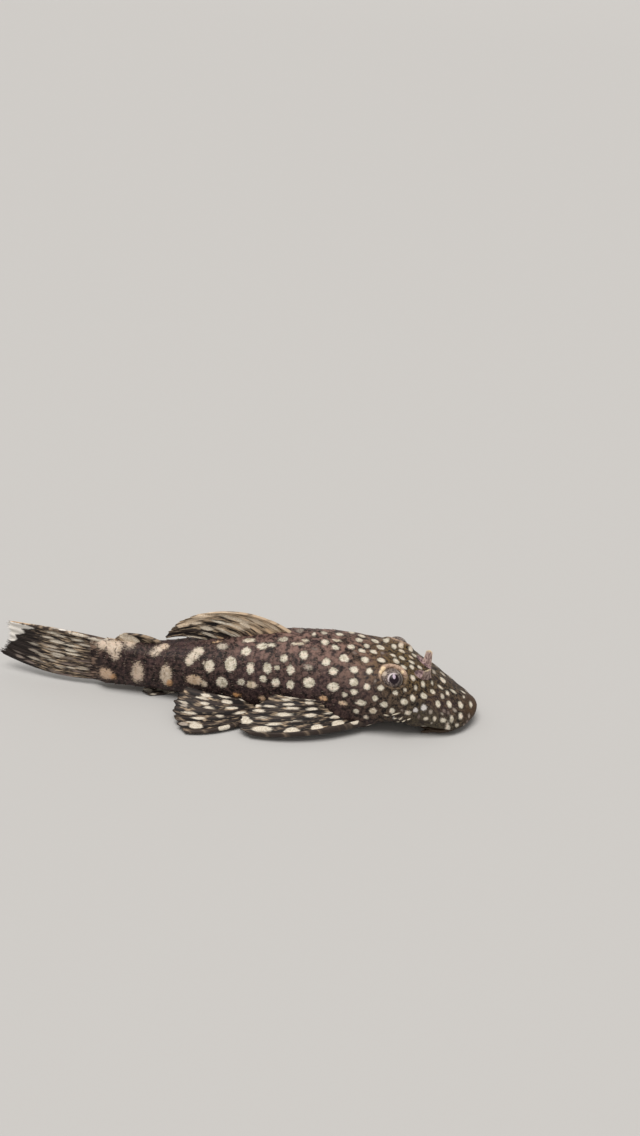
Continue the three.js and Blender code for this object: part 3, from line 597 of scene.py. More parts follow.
class Wire:
    """A socket of a material's node tree. Arithmetic on it adds Math nodes, so that shader maths
    reads as Python."""

    def __init__(self, tree, socket=None):
        self.tree = tree
        self.socket = socket

    def node(self, kind, settings=None, inputs=None, output=0):
        """Adds a node: its settings first, then the value or link of each input."""
        made = self.tree.nodes.new("ShaderNode" + kind)
        for name, value in (settings or {}).items():
            setattr(made, name, value)
        for name, value in (inputs or {}).items():
            if isinstance(value, Wire):
                self.tree.links.new(value.socket, made.inputs[name])
            else:
                made.inputs[name].default_value = value
        return Wire(self.tree, made.outputs[output] if made.outputs else None)

    def math(self, operation, *values):
        return self.node("Math", {"operation": operation}, dict(enumerate(values)))

    def __add__(self, other):
        return self.math("ADD", self, other)

    def __mul__(self, other):
        return self.math("MULTIPLY", self, other)

    def __sub__(self, other):
        return self.math("SUBTRACT", self, other)

    def __rsub__(self, other):
        return self.math("SUBTRACT", other, self)

    def __pow__(self, other):
        return self.math("POWER", self, other)

    __radd__ = __add__
    __rmul__ = __mul__

    def rise(self, low, high):
        """Rises smoothly from 0 where this is low to 1 where it is high."""
        return self.node("MapRange", {"interpolation_type": "SMOOTHSTEP"},
                         {"Value": self, "From Min": low, "From Max": high})

    def between(self, first, second):
        """The colour that lies between two by this share. Each is a wire or the numbers 0 to 255
        that a screen shows."""
        first, second = (end if isinstance(end, Wire) else paint(*end) for end in (first, second))
        return self.node("Mix", {"data_type": "RGBA"}, {0: self, 6: first, 7: second}, 2)

    def noise(self, where, per_mm, detail=2.0):
        """Soft noise with so many cells to a millimetre."""
        return self.node("TexNoise", inputs={"Vector": where, "Scale": per_mm, "Detail": detail})

    def cells(self, where, per_mm, spread=1.0):
        """The distance from the nearest of scattered points, so many to a millimetre."""
        return self.node("TexVoronoi", inputs={"Vector": where, "Scale": per_mm, "Randomness": spread})

    def attribute(self, name, output="Fac"):
        return self.node("Attribute", {"attribute_name": name}, output=output)

    def parts(self):
        """The three numbers of a vector."""
        split = self.node("SeparateXYZ", inputs={"Vector": self})
        return [Wire(self.tree, output) for output in split.socket.node.outputs]

    def stretched(self, *factors):
        """A vector times a factor for each of its numbers."""
        return self.node("VectorMath", {"operation": "MULTIPLY"}, {0: self, 1: factors})

    def in_mm(self):
        """The piece's own coordinates in millimetres."""
        return self.node("TexCoord", output="Object").stretched(1 / MM, 1 / MM, 1 / MM)


def paint(red, green, blue):
    """A colour from the numbers 0 to 255 that a screen shows."""
    shares = np.array([red, green, blue]) / 255
    linear = np.where(shares < 0.04045, shares / 12.92, ((shares + 0.055) / 1.055) ** 2.4)
    return (*linear, 1)


def layered(colour, *layers):
    """A colour with others laid over it in turn, each by its share."""
    for share, shown in layers:
        colour = share.between(colour, shown)
    return colour


def tinted(colour, tint, orange, white, dim):
    """A mark's cream colour turned orange, white or dim by its tint."""
    return layered(colour, (tint.rise(0.1, 1.0), orange), (tint.rise(1.3, 1.9), white),
                   (tint.rise(-0.05, -1.0), dim))


def start_material(name, *pieces):
    """A new material on the pieces, and a wire to build it with."""
    material = bpy.data.materials.new(name)
    material.use_nodes = True
    material.node_tree.nodes.clear()
    for piece in pieces:
        piece.data.materials.clear()
        piece.data.materials.append(material)
    return Wire(material.node_tree)


def end_material(wire, colour, roughness, shine=0.5, height=None):
    """Closes a material with its surface. A height in millimetres bumps it."""
    inputs = {"Base Color": colour, "Roughness": roughness, "Specular IOR Level": shine}
    if height:
        inputs["Normal"] = wire.node("Bump", inputs={"Height": height, "Strength": 1.0, "Distance": MM})
    shader = wire.node("BsdfPrincipled", inputs=inputs)
    wire.node("OutputMaterial", inputs={"Surface": shader})


w = start_material("spotted_skin", skin)
here = w.in_mm()
on_skin = w.attribute("lie", "Vector")
rosy, olive, margin = w.attribute("zones", "Vector").parts()
along, _, crown = on_skin.parts()
grain = w.noise(here, 4.0, 3.0)
broad = w.noise(here, 0.25)
patchy = w.noise(here, 1.5, 3.0)
mottle = patchy * 0.6 + grain * 0.4
blotch = w.noise(here, 0.75, 4.0) * 0.7 + mottle * 0.3
streaks = w.noise(on_skin.stretched(0.45, 2.2, 0.0), 1.0, 3.0)
specks_and_glints = w.cells(on_skin.stretched(1.0, 1.6, 0.0), 2.6, 0.6)
combed = w.noise(on_skin.stretched(1.6, 5.5, 0.0), 1.0, 2.0)
behind = 1 - w.attribute("head")
to_tail = along.rise(40.0, 62.0)
edge = w.attribute("mark") * (1 - to_tail * 0.5)
edge = edge + (grain - 0.5) * 0.6 + (patchy - 0.5) * 0.45 + behind * (combed - 0.5) * 0.7
pale = 1 - edge.rise(-0.24, 0.12)
ground = layered(
    mottle.rise(0.41, 0.63).between((15, 9, 11), (80, 62, 59)),
    (w.attribute("head"), mottle.rise(0.41, 0.63).between((14, 9, 9), (88, 73, 60))),
    (broad.rise(0.45, 0.65) * 0.3, (70, 52, 56)),
    (rosy * blotch.rise(0.4, 0.64) * 0.9, (136, 108, 99)),
    (behind * combed.rise(0.56, 0.7) * 0.3, (128, 106, 92)),
    (olive * mottle.rise(0.3, 0.6) * 0.75, (88, 82, 64)),
    (crown * mottle.rise(0.4, 0.6) * 0.7, (108, 88, 50)),
    (margin * 0.8, (74, 56, 40)),
    # Pale specks: the pale bone of the plates' fine spines, and painted glints off them
    (specks_and_glints.rise(0.3, 0.0) * 0.25, (128, 108, 98)),
    (edge.rise(0.4, 0.02) * 0.4, (34, 26, 24)),
)
cream = layered(
    mottle.rise(0.38, 0.58).between((172, 164, 146), (222, 217, 203)),
    (patchy.rise(0.5, 0.62) * 0.5, (214, 190, 172)),
    (to_tail * 0.45, (196, 166, 146)),
)
spot = tinted(cream, w.attribute("tint"), (200, 150, 102), (196, 192, 190), (98, 82, 78))
belly = patchy.rise(0.3, 0.7).between((150, 132, 114), (104, 88, 76))
streaky = streaks.rise(0.45, 0.62).between((36, 27, 26), (134, 112, 98))
lid = mottle.rise(0.36, 0.6).between((132, 108, 92), (186, 160, 140))
inside = mottle.rise(0.38, 0.6).between((92, 72, 76), (168, 144, 144))
colour = layered(
    pale.between(ground, spot),
    (w.attribute("underside"), belly),
    (w.attribute("in_fin"), pale.between(streaky, spot)),
    # The lids' colour, painted paler on their upper side where the light falls
    (w.attribute("rim"), lid),
    (w.attribute("cream").rise(0.35, 0.75), (232, 208, 172)),
    (w.attribute("nostril"), inside),
)
relief = specks_and_glints.rise(0.35, 0.0) * 0.03 + streaks * 0.02 + grain * 0.03 + patchy * 0.05
end_material(w, colour, grain * 0.2 + 0.45, 0.18, relief)

# The eyes
# Each is a ball sunk in its rim, that looks out, up and a little ahead. The iris is speckled grey
# with a silver ring round the pupil, and a pale lobe of it hangs into the pupil from above.
EYE_RINGS = 60
EYE_STEPS = 72
GAZE = (0.25, 0.785, 0.567)
CORNEA = {"height": 0.08, "spread": 0.4}
turn_angles = np.linspace(0, 2 * np.pi, EYE_STEPS, endpoint=False)
polar = np.pi * np.linspace(0.004, 0.996, EYE_RINGS)[:, None] ** 1.4
radius = EYE["radius"] + CORNEA["height"] * hump(polar, CORNEA["spread"])
level_ahead, leftward = level_axes(EYE["s"])
straight_up = np.array([0, 0, 1])
eyeballs = []
for word, centre in eyes.items():
    hand = HANDS[word]
    gaze = unit(GAZE[0] * level_ahead + hand * GAZE[1] * leftward + GAZE[2] * straight_up)
    upward = unit(straight_up - GAZE[2] * gaze)
    forward = hand * np.cross(gaze, upward)
    ahead = radius * np.sin(polar) * np.cos(turn_angles)
    over = hand * radius * np.sin(polar) * np.sin(turn_angles)
    out = radius * np.cos(polar) + 0 * turn_angles
    ball = centre + ahead[..., None] * forward + over[..., None] * upward + out[..., None] * gaze
    points, faces = closed(ball.reshape(-1, 3), EYE_STEPS)
    dial = np.stack([ahead, over, EYE["radius"] * polar + 0 * over], -1).reshape(-1, 3)
    eyeballs.append(make_piece("eye_ball_" + word, points, faces, {"dial": with_ends(dial)},
                               ["eye_" + word]))
w = start_material("eye", *eyeballs)
here = w.in_mm()
ahead, over, reach = w.attribute("dial", "Vector").parts()
mottle = w.noise(here, 3.2, 3.0)
flecks = w.noise(here, 9.0)
front = (ahead - over * 0.35 + (mottle - 0.5) * 0.8).rise(0.55, 1.1)
# Painted light: the silver ring is brighter on its upper hind side, where the light falls.
lit = (over * 0.6 - ahead * 0.5 + mottle).rise(0.3, 1.2)
silver_ring = reach.rise(0.78, 0.9) * reach.rise(1.25, 1.0) * (mottle + lit * 0.3).rise(0.4, 0.68)
corner = ((ahead + 1.5) ** 2.0) + ((over - 1.1) ** 2.0) + (flecks - 0.5) * 0.5
lobe = (ahead ** 2.0) * 15.0 + ((over - 0.42) ** 2.0) * 5.0
arc = reach.rise(1.62, 1.72) * reach.rise(1.95, 1.82) * ahead.rise(0.4, 1.0)
colour = layered(
    mottle.rise(0.4, 0.6).between((50, 38, 38), (128, 114, 106)),
    (flecks.rise(0.54, 0.7) * 0.55, (184, 176, 170)),
    (front * 0.75, (48, 40, 38)),
    (silver_ring * 0.8, lit.between((112, 100, 102), (214, 202, 206))),
    (corner.rise(0.3, 0.1) * 0.8, (206, 192, 176)),
    (reach.rise(0.88, 0.8), (26, 11, 21)),
    (lobe.rise(1.15, 0.75) * 0.9, (196, 180, 196)),
    (arc * 0.6, (176, 166, 156)),
    (reach.rise(2.9, 3.3), (66, 54, 48)),
)
end_material(w, colour, 0.4, 0.3)

# The mouth
# A disc of soft lips lies flat under the snout and holds the fish to stones by suction. The slit of
# the mouth crosses it between two combs of fine teeth. A barbel stands at each of its corners.
MOUTH = {"s": 6.6, "half_length": 4.8, "half_width": 7.0, "slit": 2.4, "gape": 0.3, "depth": 0.4}
# The lips' section from the middle below, round the rim and in again: shares of the way out, heights
LIP_OUT = [0.02, 0.36, 0.48, 0.84, 0.95, 1, 1, 0.88, 0.4]
LIP_UP = [0.15, 0.12, 0.03, 0.03, 0.12, 0.42, 0.8, 1.25, 1.3]
LIP_RIM = 5
LIP_RINGS = 120
LIP_STEPS = 240
PAPILLA = 0.04
COMB = {"ahead": 0.55, "width": 0.2, "reach": 2.1, "tooth": 0.1, "wave": 20}
BARBEL = {"length": 1.8, "radius": 0.34, "turn": 1, "root": 0.4, "back": 1.2, "inset": 0.35,
          "lift": 0.06, "curl": 0.12, "rows": 16, "steps": 20}


def tubes(kind, base, ahead, bend, length, radius, first=0):
    """Points and faces of tapering tubes, and each point's share of the way to the tip. The middle
    line of each leaves its base and goes ahead by its length, and sideways by the square of the way
    times its curl. The radius falls as the root of 1 less the way squared. The faces count the
    points from the first."""
    ring_count = kind["steps"]
    way = np.linspace(0, 1, kind["rows"])
    angle = np.linspace(0, 2 * np.pi, ring_count, endpoint=False)[:, None]
    beside = unit(np.cross(ahead, bend))
    over = np.cross(ahead, beside)
    line = way[:, None] * ahead[:, None] + kind["curl"] * way[:, None] ** 2 * bend[:, None]
    middle = base[:, None] + length[:, None, None] * line
    wide = radius[:, None] * np.sqrt(1 - 0.995 * way ** 2)
    round_it = np.cos(angle) * beside[:, None, None] + np.sin(angle) * over[:, None, None]
    rings = (middle[:, :, None] + wide[..., None, None] * round_it).reshape(len(base), -1, 3)
    one = closed(rings[0], ring_count)[1]
    ends = np.stack([rings[:, :ring_count].mean(1), rings[:, -ring_count:].mean(1)], 1)
    points = np.concatenate((rings, ends), axis=1)
    count = points.shape[1]
    starts = first + np.arange(len(base))[:, None, None] * count
    quads = np.array(one[:-2 * ring_count]) + starts
    fans = np.array(one[-2 * ring_count:]) + starts
    share = np.concatenate((np.repeat(way, ring_count), [0, 1]))
    faces = quads.reshape(-1, 4).tolist() + fans.reshape(-1, 3).tolist()
    return points.reshape(-1, 3), faces, np.tile(share, len(base))


corners = np.cumsum(np.concatenate(([0], np.hypot(np.diff(LIP_OUT), np.diff(LIP_UP)))))
along_lip = np.linspace(0, corners[-1], LIP_RINGS)[:, None]
lip_out = np.interp(along_lip, corners, LIP_OUT)
lip_up = np.interp(along_lip, corners, LIP_UP)
angle = np.linspace(0, 2 * np.pi, LIP_STEPS, endpoint=False)
lip_ahead = lip_out * np.cos(angle) * MOUTH["half_length"]
lip_left = lip_out * np.sin(angle) * MOUTH["half_width"]
is_below = along_lip < corners[LIP_RIM]
bumps = np.sin(7 * lip_ahead + 3 * lip_left) * np.sin(6.1 * lip_left - 2 * lip_ahead)
in_slit = hump(lip_ahead, MOUTH["gape"]) * (1 - soft(np.abs(lip_left), MOUTH["slit"] - 0.5, MOUTH["slit"]))
on_comb = hump(np.abs(lip_ahead) - COMB["ahead"], COMB["width"])
on_comb = on_comb * (1 - soft(np.abs(lip_left), COMB["reach"] - 0.4, COMB["reach"]))
lifted = PAPILLA * (1 + bumps) * (1 - soft(on_comb, 0.1, 0.4)) + MOUTH["depth"] * in_slit
lifted = lifted - COMB["tooth"] * on_comb * (0.5 + 0.5 * np.sin(COMB["wave"] * lip_left))
mouth_at = place(MOUTH["s"], 0, 0)
ahead, leftward = level_axes(MOUTH["s"])
lips = mouth_at + lip_ahead[..., None] * ahead + lip_left[..., None] * leftward
lips[..., 2] = np.maximum(lip_up + lifted * is_below, 0)
points, faces = closed(lips.reshape(-1, 3), LIP_STEPS)
sideways = np.array(list(HANDS.values()))[:, None] * leftward
barbel_ahead = np.cos(BARBEL["turn"]) * sideways - np.sin(BARBEL["turn"]) * ahead
barbel_at = mouth_at + (MOUTH["half_width"] - BARBEL["inset"]) * sideways - BARBEL["back"] * ahead
barbel_at = barbel_at - BARBEL["root"] * barbel_ahead + [0, 0, BARBEL["radius"] + BARBEL["lift"]]
barbels, barbel_faces, _ = tubes(BARBEL, barbel_at, barbel_ahead, -ahead + 0 * barbel_ahead,
                                 np.full(2, BARBEL["length"]), np.full(2, BARBEL["radius"]), len(points))
values_on_mouth = {"comb": on_comb, "slit": in_slit * is_below}
for word, values in values_on_mouth.items():
    values_on_mouth[word] = np.concatenate((with_ends(values.ravel()), np.zeros(len(barbels))))
mouth = make_piece("mouth_lips", np.concatenate((points, barbels)), faces + barbel_faces, values_on_mouth,
                   ["mouth_disc"])
w = start_material("lips", mouth)
here = w.in_mm()
_, _, height = here.parts()
buds = w.cells(here, 2.4, 0.7)
patchy = w.noise(here, 0.8, 3.0)
colour = layered(
    patchy.rise(0.35, 0.65).between((150, 124, 104), (184, 162, 142)),
    (buds.rise(0.1, 0.5) * 0.4, (112, 88, 74)),
    # Painted shade: the lips darken as they rise in under the snout.
    (height.rise(0.02, 0.4), (70, 54, 40)),
    (w.attribute("comb").rise(0.2, 0.6), (196, 142, 84)),
    # Painted shade in the groove of the mouth's slit
    (w.attribute("slit").rise(0.3, 0.7), (70, 40, 38)),
)
end_material(w, colour, 0.5, 0.4, buds.rise(0.5, 0.0) * 0.05)

# The nostril flaps
# A thin upright flap of skin stands at the front of each nostril and guides water into it. It is
# pale and thin enough for light to pass, cupped towards the nostril, with a rounded top.
FLAP = {"ahead": 0.8, "high": 2.75, "sunk": 0.3, "wide": 1.0, "thick": 0.12, "back": 0.44, "out": 0.25,
        "turn": 0.9, "beside": 0.5}
FLAP_ROWS = 40
FLAP_STEPS = 36
flaps = []
for word, (point, forward, across, outward) in nostrils.items():
    hand = HANDS[word]
    lean = unit(outward + np.tan(FLAP["out"]) * hand * across - np.tan(FLAP["back"]) * forward)
    broad_side = unit(np.cos(FLAP["turn"]) * forward + np.sin(FLAP["turn"]) * hand * across)
    wide_way = unit(np.cross(lean, broad_side))
    thick_way = np.cross(wide_way, lean)
    way = np.linspace(0, 1, FLAP_ROWS)[:, None]
    angle = np.linspace(0, 2 * np.pi, FLAP_STEPS, endpoint=False)
    half = FLAP["wide"] * (1.05 - 0.45 * way + 0.1 * way ** 6)
    half = half * np.sqrt(1 - 0.998 * soft(way, 0.84, 1) ** 2)
    beside = half * np.cos(angle)
    fold = 0.03 * np.sin(9 * beside / FLAP["wide"] + 3 * way) - 0.35 * beside ** 2
    through = fold - FLAP["thick"] * (1 - 0.4 * way) * np.sin(angle)
    foot = point + FLAP["ahead"] * forward + FLAP["beside"] * hand * across
    sheet = foot + (way * FLAP["high"] - FLAP["sunk"])[..., None] * lean
    sheet = sheet + beside[..., None] * wide_way + through[..., None] * thick_way
    points, faces = closed(sheet.reshape(-1, 3), FLAP_STEPS)
    # Painted highlight: the flap's thin top and side edges are painted paler.
    lit_edge = np.maximum(soft(way, 0.8, 0.97), soft(np.abs(np.cos(angle)), 0.8, 1) * way)
    values_on_flap = {"edge": with_ends(lit_edge.ravel())}
    flaps.append(make_piece("nostril_flap_" + word, points, faces, values_on_flap))
w = start_material("flap", *flaps)
here = w.in_mm()
folds_and_shade = w.noise(here.stretched(3.5, 3.5, 0.7), 1.0, 3.0)
# Painted shade: dark streaks along the flap's folds, which also bump it.
colour = folds_and_shade.rise(0.38, 0.6).between((124, 104, 102), (190, 168, 160))
# Painted highlight along the flap's top and side edges
colour = w.attribute("edge").between(colour, (218, 200, 170))
end_material(w, colour, 0.5, 0.3, folds_and_shade * 0.04)

# The spines
# A tuft of hooked bony spines sits low on each cheek, dark at the root and pale at the tip. Fine
# spines of the same bone stand along the hind edge of each plate, about its keel.
CHEEK_SPINES = [
    (389, 716, 1.1, 16), (401, 713, 1.8, -14), (397, 718.3, 0.7, -4), (403, 716.5, 0.9, -40),
    (411, 718.5, 0.8, -14), (406, 720, 0.8, -24), (400, 721, 0.7, -12),
]
CHEEK_SPINE = {"radius": 0.13, "lift": 0.42, "sunk": -0.02, "curl": -0.1, "rows": 12, "steps": 12}
PLATE_SPINE = {"length": 0.26, "radius": 0.055, "lift": 0.5, "sunk": 0.03, "curl": 0.1, "rows": 3,
               "steps": 5, "every": 5, "row": 5, "lowest": 0.4}
spines = []
for hand in HANDS.values():
    for x, y, length, angle in CHEEK_SPINES:
        at = seen_at(x, y)
        point, forward, across, outward = axes_on_body(flat_s[at], flat_ring[at], hand)
        climb = np.radians(angle)
        backward = -np.cos(climb) * forward - hand * np.sin(climb) * across
        base = point - CHEEK_SPINE["sunk"] * outward
        spines.append((base, unit(backward + CHEEK_SPINE["lift"] * outward), outward, length))
base, pointing, bend, length = (np.array(values) for values in zip(*spines))
radius = np.full(len(base), CHEEK_SPINE["radius"])
points, faces, tip = tubes(CHEEK_SPINE, base, pointing, bend, length, radius)
cheek_spines = make_piece("cheek_spines", points, faces, {"tip": tip})

row_index = HEAD_ROWS - 1 + PLATE_SPINE["row"]
row_index = row_index + len(PLATE_FRACTIONS) * np.arange(TORSO_PLATES + TAIL_PLATES)
columns = np.flatnonzero((is_plated > 0.9) & (on_keel > 0.25))[:: PLATE_SPINE["every"]]
picked = np.ix_(row_index, columns)
clear = skin_points[picked][..., 2] > PLATE_SPINE["lowest"]
base = skin_points[picked][clear]
out_of = normals[picked][clear]
backward = unit(np.gradient(smooth, axis=0)[picked][clear])
size = dice.uniform(0.7, 1.3, len(base))
base = base - PLATE_SPINE["sunk"] * out_of
pointing = unit(backward + PLATE_SPINE["lift"] * out_of)
points, faces, tip = tubes(PLATE_SPINE, base, pointing, out_of, PLATE_SPINE["length"] * size,
                           PLATE_SPINE["radius"] * size)
plate_spines = make_piece("plate_spines", points, faces, {"tip": 0.3 * tip})
w = start_material("spine", cheek_spines, plate_spines)
colour = w.attribute("tip").rise(0.0, 0.6).between((74, 62, 52), (200, 190, 170))
end_material(w, colour, 0.4)

# The fins
# Each is a thin membrane held by bony rays that fork towards its edge, behind one stout spine. Pale
# dashes lie on the rays in arcs. The roots are sunk in the skin.

# A fin's record: the thickness of its spine, rays and membrane; as shares of a ray's length, how deep
# the notches between the rays are and where the root starts; how pale its stain is, how that grows
# from the first ray to the last, how much darker the tip is and how much dimmer the marks are. The
# patch holds the root, middle and tip of three rays, each by its distance behind the snout, its
# offset to the side and its height.
FIN = {"spine": 1.2, "spine_tip": 0.5, "ray": 0.5, "membrane": 0.2, "tip": 0.16, "notch": 0.015, "root": 0,
       "stain": 0.12, "fade": 0, "dark_tip": 0, "dim": 0}
FINS = {
    "dorsal_fin": {**FIN, "rays": 8, "stain": 0.33, "fade": -0.2, "dim": -0.35, "patch": [
        [[31.4, 0, 11.2], [39.6, 0, 15.4], [48.6, 0, 15.2]],
        [[39.2, 0, 11.4], [45.6, 0, 14.2], [52.8, 0, 13.2]],
        [[46.5, 0, 9.8], [50.6, 0, 10.7], [55.0, 0, 10.0]],
    ]},
    "adipose_fin": {**FIN, "spine": 1.0, "rays": 3, "stain": 0.22, "patch": [
        [[54.8, 0, 8.5], [58.4, 0, 10.2], [62.4, 0, 10.5]],
        [[59.0, 0, 8.2], [60.8, 0, 9.5], [63.0, 0, 10.0]],
        [[62.6, 0, 8.2], [63.1, 0, 8.8], [63.6, 0, 9.5]],
    ]},
    "anal_fin": {**FIN, "spine": 0.5, "spine_tip": 0.35, "ray": 0.4, "rays": 5, "patch": [
        [[48.6, 0, 1.6], [52.8, 1.5, 0.42], [57.6, 2.9, 0.44]],
        [[50.1, 0, 1.7], [54.0, 1.1, 0.44], [58.6, 1.9, 0.44]],
        [[51.6, 0, 1.8], [54.8, 0.6, 0.46], [58.0, 0.7, 0.46]],
    ]},
    "caudal_fin": {**FIN, "spine": 1.1, "rays": 16, "notch": 0.045, "root": -0.16, "stain": 0.19,
                   "dark_tip": 0.16, "dim": 0.4, "patch": [
        [[66.8, 0, 9.0], [75.5, 0, 9.8], [83.9, 0, 9.4]],
        [[66.8, 0, 5.0], [75.3, 0, 5.5], [83.6, 0, 6.1]],
        [[66.8, 0, 1.4], [76.0, 0, 1.5], [85.8, 0, 3.1]],
    ]},
    "pectoral_fin": {**FIN, "spine": 1.6, "spine_tip": 0.9, "rays": 7, "stain": 0.14, "patch": [
        [[17.8, 8.3, 2.0], [28.4, 14.2, 1.7], [39.8, 14.8, 1.05]],
        [[21.2, 7.6, 3.1], [30.6, 12.1, 3.3], [41.0, 12.0, 2.3]],
        [[23.6, 7.8, 4.2], [29.4, 9.9, 5.4], [35.4, 9.6, 5.7]],
    ]},
    "pelvic_fin": {**FIN, "rays": 6, "stain": 0.14, "patch": [
        [[33.2, 4.6, 1.0], [42.5, 12.6, 0.8], [50.4, 14.7, 0.6]],
        [[34.6, 4.7, 1.1], [43.8, 10.0, 1.5], [52.6, 9.6, 1.9]],
        [[36.0, 4.8, 1.2], [43.8, 7.0, 3.1], [50.8, 5.8, 4.2]],
    ]},
}
COLUMNS_PER_RAY = 10
FIN_ROWS = 72
SIDE_BENDS = np.radians([84, 62, 40, 20])
FORK = 0.27
WAVE = 0.16
FRAY = 0.012
# Their marks are placed at the photo's pixels like the spots. The hidden fins repeat the seen ones.
FIN_MARKS = {
    "dorsal_fin": [
        (207, 614, 9, 3.5, 0.1), (199, 618, 6, 2.5, 0.1), (192, 621, 5, 2.5, 0.1), (186, 624, 4, 2, 0.1),
        (181, 626, 3, 2, 0.1), (196, 623, 5, 1.5, 0), (228, 613, 18, 1.5, 0.1), (235, 619, 16, 2, 0),
        (258, 622, 9, 2, 0.05), (273, 627, 6, 2, 0.1), (245, 625, 5, 3, 0), (262, 616, 9, 1.5, -0.3),
        (237, 627, 7, 1.5, 0), (207, 628, 6, 2.5, -0.1), (256, 630, 7, 1.5, 0.2), (273, 634, 8, 2, 0.3),
        (285, 632, 5, 1.5, 0), (250, 634, 6, 1.5, 0.3), (225, 632, 9, 1.5, -0.2), (208, 634, 6, 1.5, -0.2),
        (238, 635, 7, 1.5, -0.3), (195, 640, 6, 1.5, 0.2), (221, 639, 6, 1.5, 0.3),
        (195, 643, 8, 1.5, -0.3), (222, 623, 8, 1.5, -0.4), (212, 636, 5, 1, -0.4),
    ],
    "caudal_fin": [
        (19, 625, 13, 3.5, 2), (13, 630, 10, 4.5, 2), (11, 636, 6, 4.5, 2), (23, 622, 10, 1, 0.9),
        # The white mark at (62, 629) is a painted highlight along the fin's top edge.
        (44, 626, 12, 0.9, 0), (62, 629, 10, 0.9, 2), (78, 634, 9, 1.5, 0.1), (97, 641, 9, 2.5, 0.1),
        (53, 633, 6, 1.5, 0.3), (48, 637, 5, 1, 0), (60, 636, 5, 1, 0.2), (46, 644, 9, 0.9, -0.3),
        (57, 642, 6, 2, 0.1), (68, 642, 6, 1, 0.3), (77, 640, 5, 1, 0.3), (34, 644, 5, 1.2, 0),
        (52, 646, 6, 1.5, 0), (72, 646, 7, 1.2, 0.2), (85, 645, 6, 1, 0), (33, 650, 4, 1.5, -0.2),
        (53, 650, 7, 1.1, -0.1), (71, 650, 6, 1.5, 0.3), (92, 649, 4, 2, 0.5), (86, 656, 6, 1.3, 0),
        (38, 653, 5, 1, 0), (18, 652, 5, 0.9, -0.3), (45, 656, 5, 1.3, 0), (58, 655, 6, 2, 0),
        (73, 654, 6, 1, 0.4), (33, 658, 5, 1.5, 0), (20, 657, 4, 1, -0.3), (53, 660, 5, 1.3, 0),
        (70, 658, 5, 1, -0.3), (30, 662, 4, 1, -0.4), (42, 662, 4, 1, -0.3), (68, 664, 6, 1, -0.4),
        (84, 661, 6, 1, -0.5), (60, 667, 5, 1.1, 0), (71, 668, 4, 1.1, 0), (82, 668, 6, 1.4, 0),
        (92, 666, 5, 1, -0.4), (54, 671, 5, 1, -0.4), (78, 672, 5, 1.2, -0.4), (90, 674, 6, 0.9, -0.6),
        (66, 675, 6, 0.9, -0.5),
    ],
    "pectoral_fin": [
        (338, 724, 5.5, 4.5, 0), (317, 728, 5.5, 4.5, 0), (292, 731, 7, 4, 0), (262, 729, 9, 3, -0.1),
        (247, 722, 5, 2.5, 0.1), (342, 712, 5, 2.5, 0), (335, 717, 4.5, 2, 0), (319, 720, 5.5, 1.5, 0),
        (295, 722, 8, 1.5, 0), (273, 724, 6.5, 1.5, 0), (328, 705, 3.5, 2.5, 0.2), (328, 710, 3.5, 1, 0),
        (329, 713, 3.5, 1.1, 0), (310, 698, 4.5, 1.2, 0), (309, 703, 4, 2, 0), (312, 709, 4.5, 1.5, 0),
        (311, 715, 5, 2, 0), (292, 695, 5, 1.3, 0), (286, 700, 4.5, 1.3, 0), (288, 704, 4.5, 1.5, 0),
        (292, 708, 5.5, 1.4, 0), (284, 714, 7, 2, 0), (269, 706, 5, 1.2, 0), (255, 706, 5, 2, 0.2),
        (259, 711, 5, 2, 0), (262, 718, 7, 1.2, 0), (245, 719, 4, 3, 0.1), (354, 721, 4, 4, 0),
    ],
    "pelvic_fin": [
        (206, 695, 4.5, 2, 0), (202, 698, 5, 1.3, 0), (205, 703, 4, 1.3, 0), (209, 708, 5, 1.5, 0),
        (224, 696, 5.5, 2, 0), (227, 702, 4.5, 2, 0), (232, 708, 5, 1.5, 0), (240, 713, 5, 1.5, 0),
        (243, 699, 4, 2, 0), (220, 717, 4.5, 2, 0), (224, 727, 5, 3.5, 0), (189, 713, 6, 1.5, -0.3),
        (198, 718, 6, 1.5, 0), (196, 726, 6, 3, -0.2), (184, 702, 4, 1.2, -0.4), (184, 706, 4, 1.2, -0.5),
        (184, 724, 4, 2, -0.6), (193, 722, 5, 0.9, -0.3),
    ],
    "adipose_fin": [(129, 639, 10, 5, 0.3)],
    "anal_fin": [],
}
FIN_MARK = {"longer": 1.1, "thinner": 0.9, "widest": 1.5, "shake": 0.6}
DASH = {"arcs": [0.3, 0.6, 0.9], "length": 0.6, "width": 0.2}


def lagrange(t):
    """The weights of a parabola's values at 0, a half and 1."""
    return np.stack([2 * (t - 0.5) * (t - 1), 4 * t * (1 - t), 2 * t * (t - 0.5)], -1)


def patch_point(fin, hand, u, v):
    """A point of the fin's middle sheet, a parabola from ray to ray (u) of parabolas along the rays
    (v) through nine points."""
    weights = lagrange(u)[..., :, None] * lagrange(v)[..., None, :]
    s, left, height = np.moveaxis(np.einsum("...ij,ijk->...k", weights, np.array(fin["patch"])), -1, 0)
    return place(s, hand * left, height)


def patch_axes(fin, hand, u, v):
    """The directions from ray to ray, along the rays and out of the sheet."""
    step = 0.01
    across = patch_point(fin, hand, u + step, v) - patch_point(fin, hand, u - step, v)
    along = patch_point(fin, hand, u, v + step) - patch_point(fin, hand, u, v - step)
    return unit(across), unit(along), unit(np.cross(across, along))


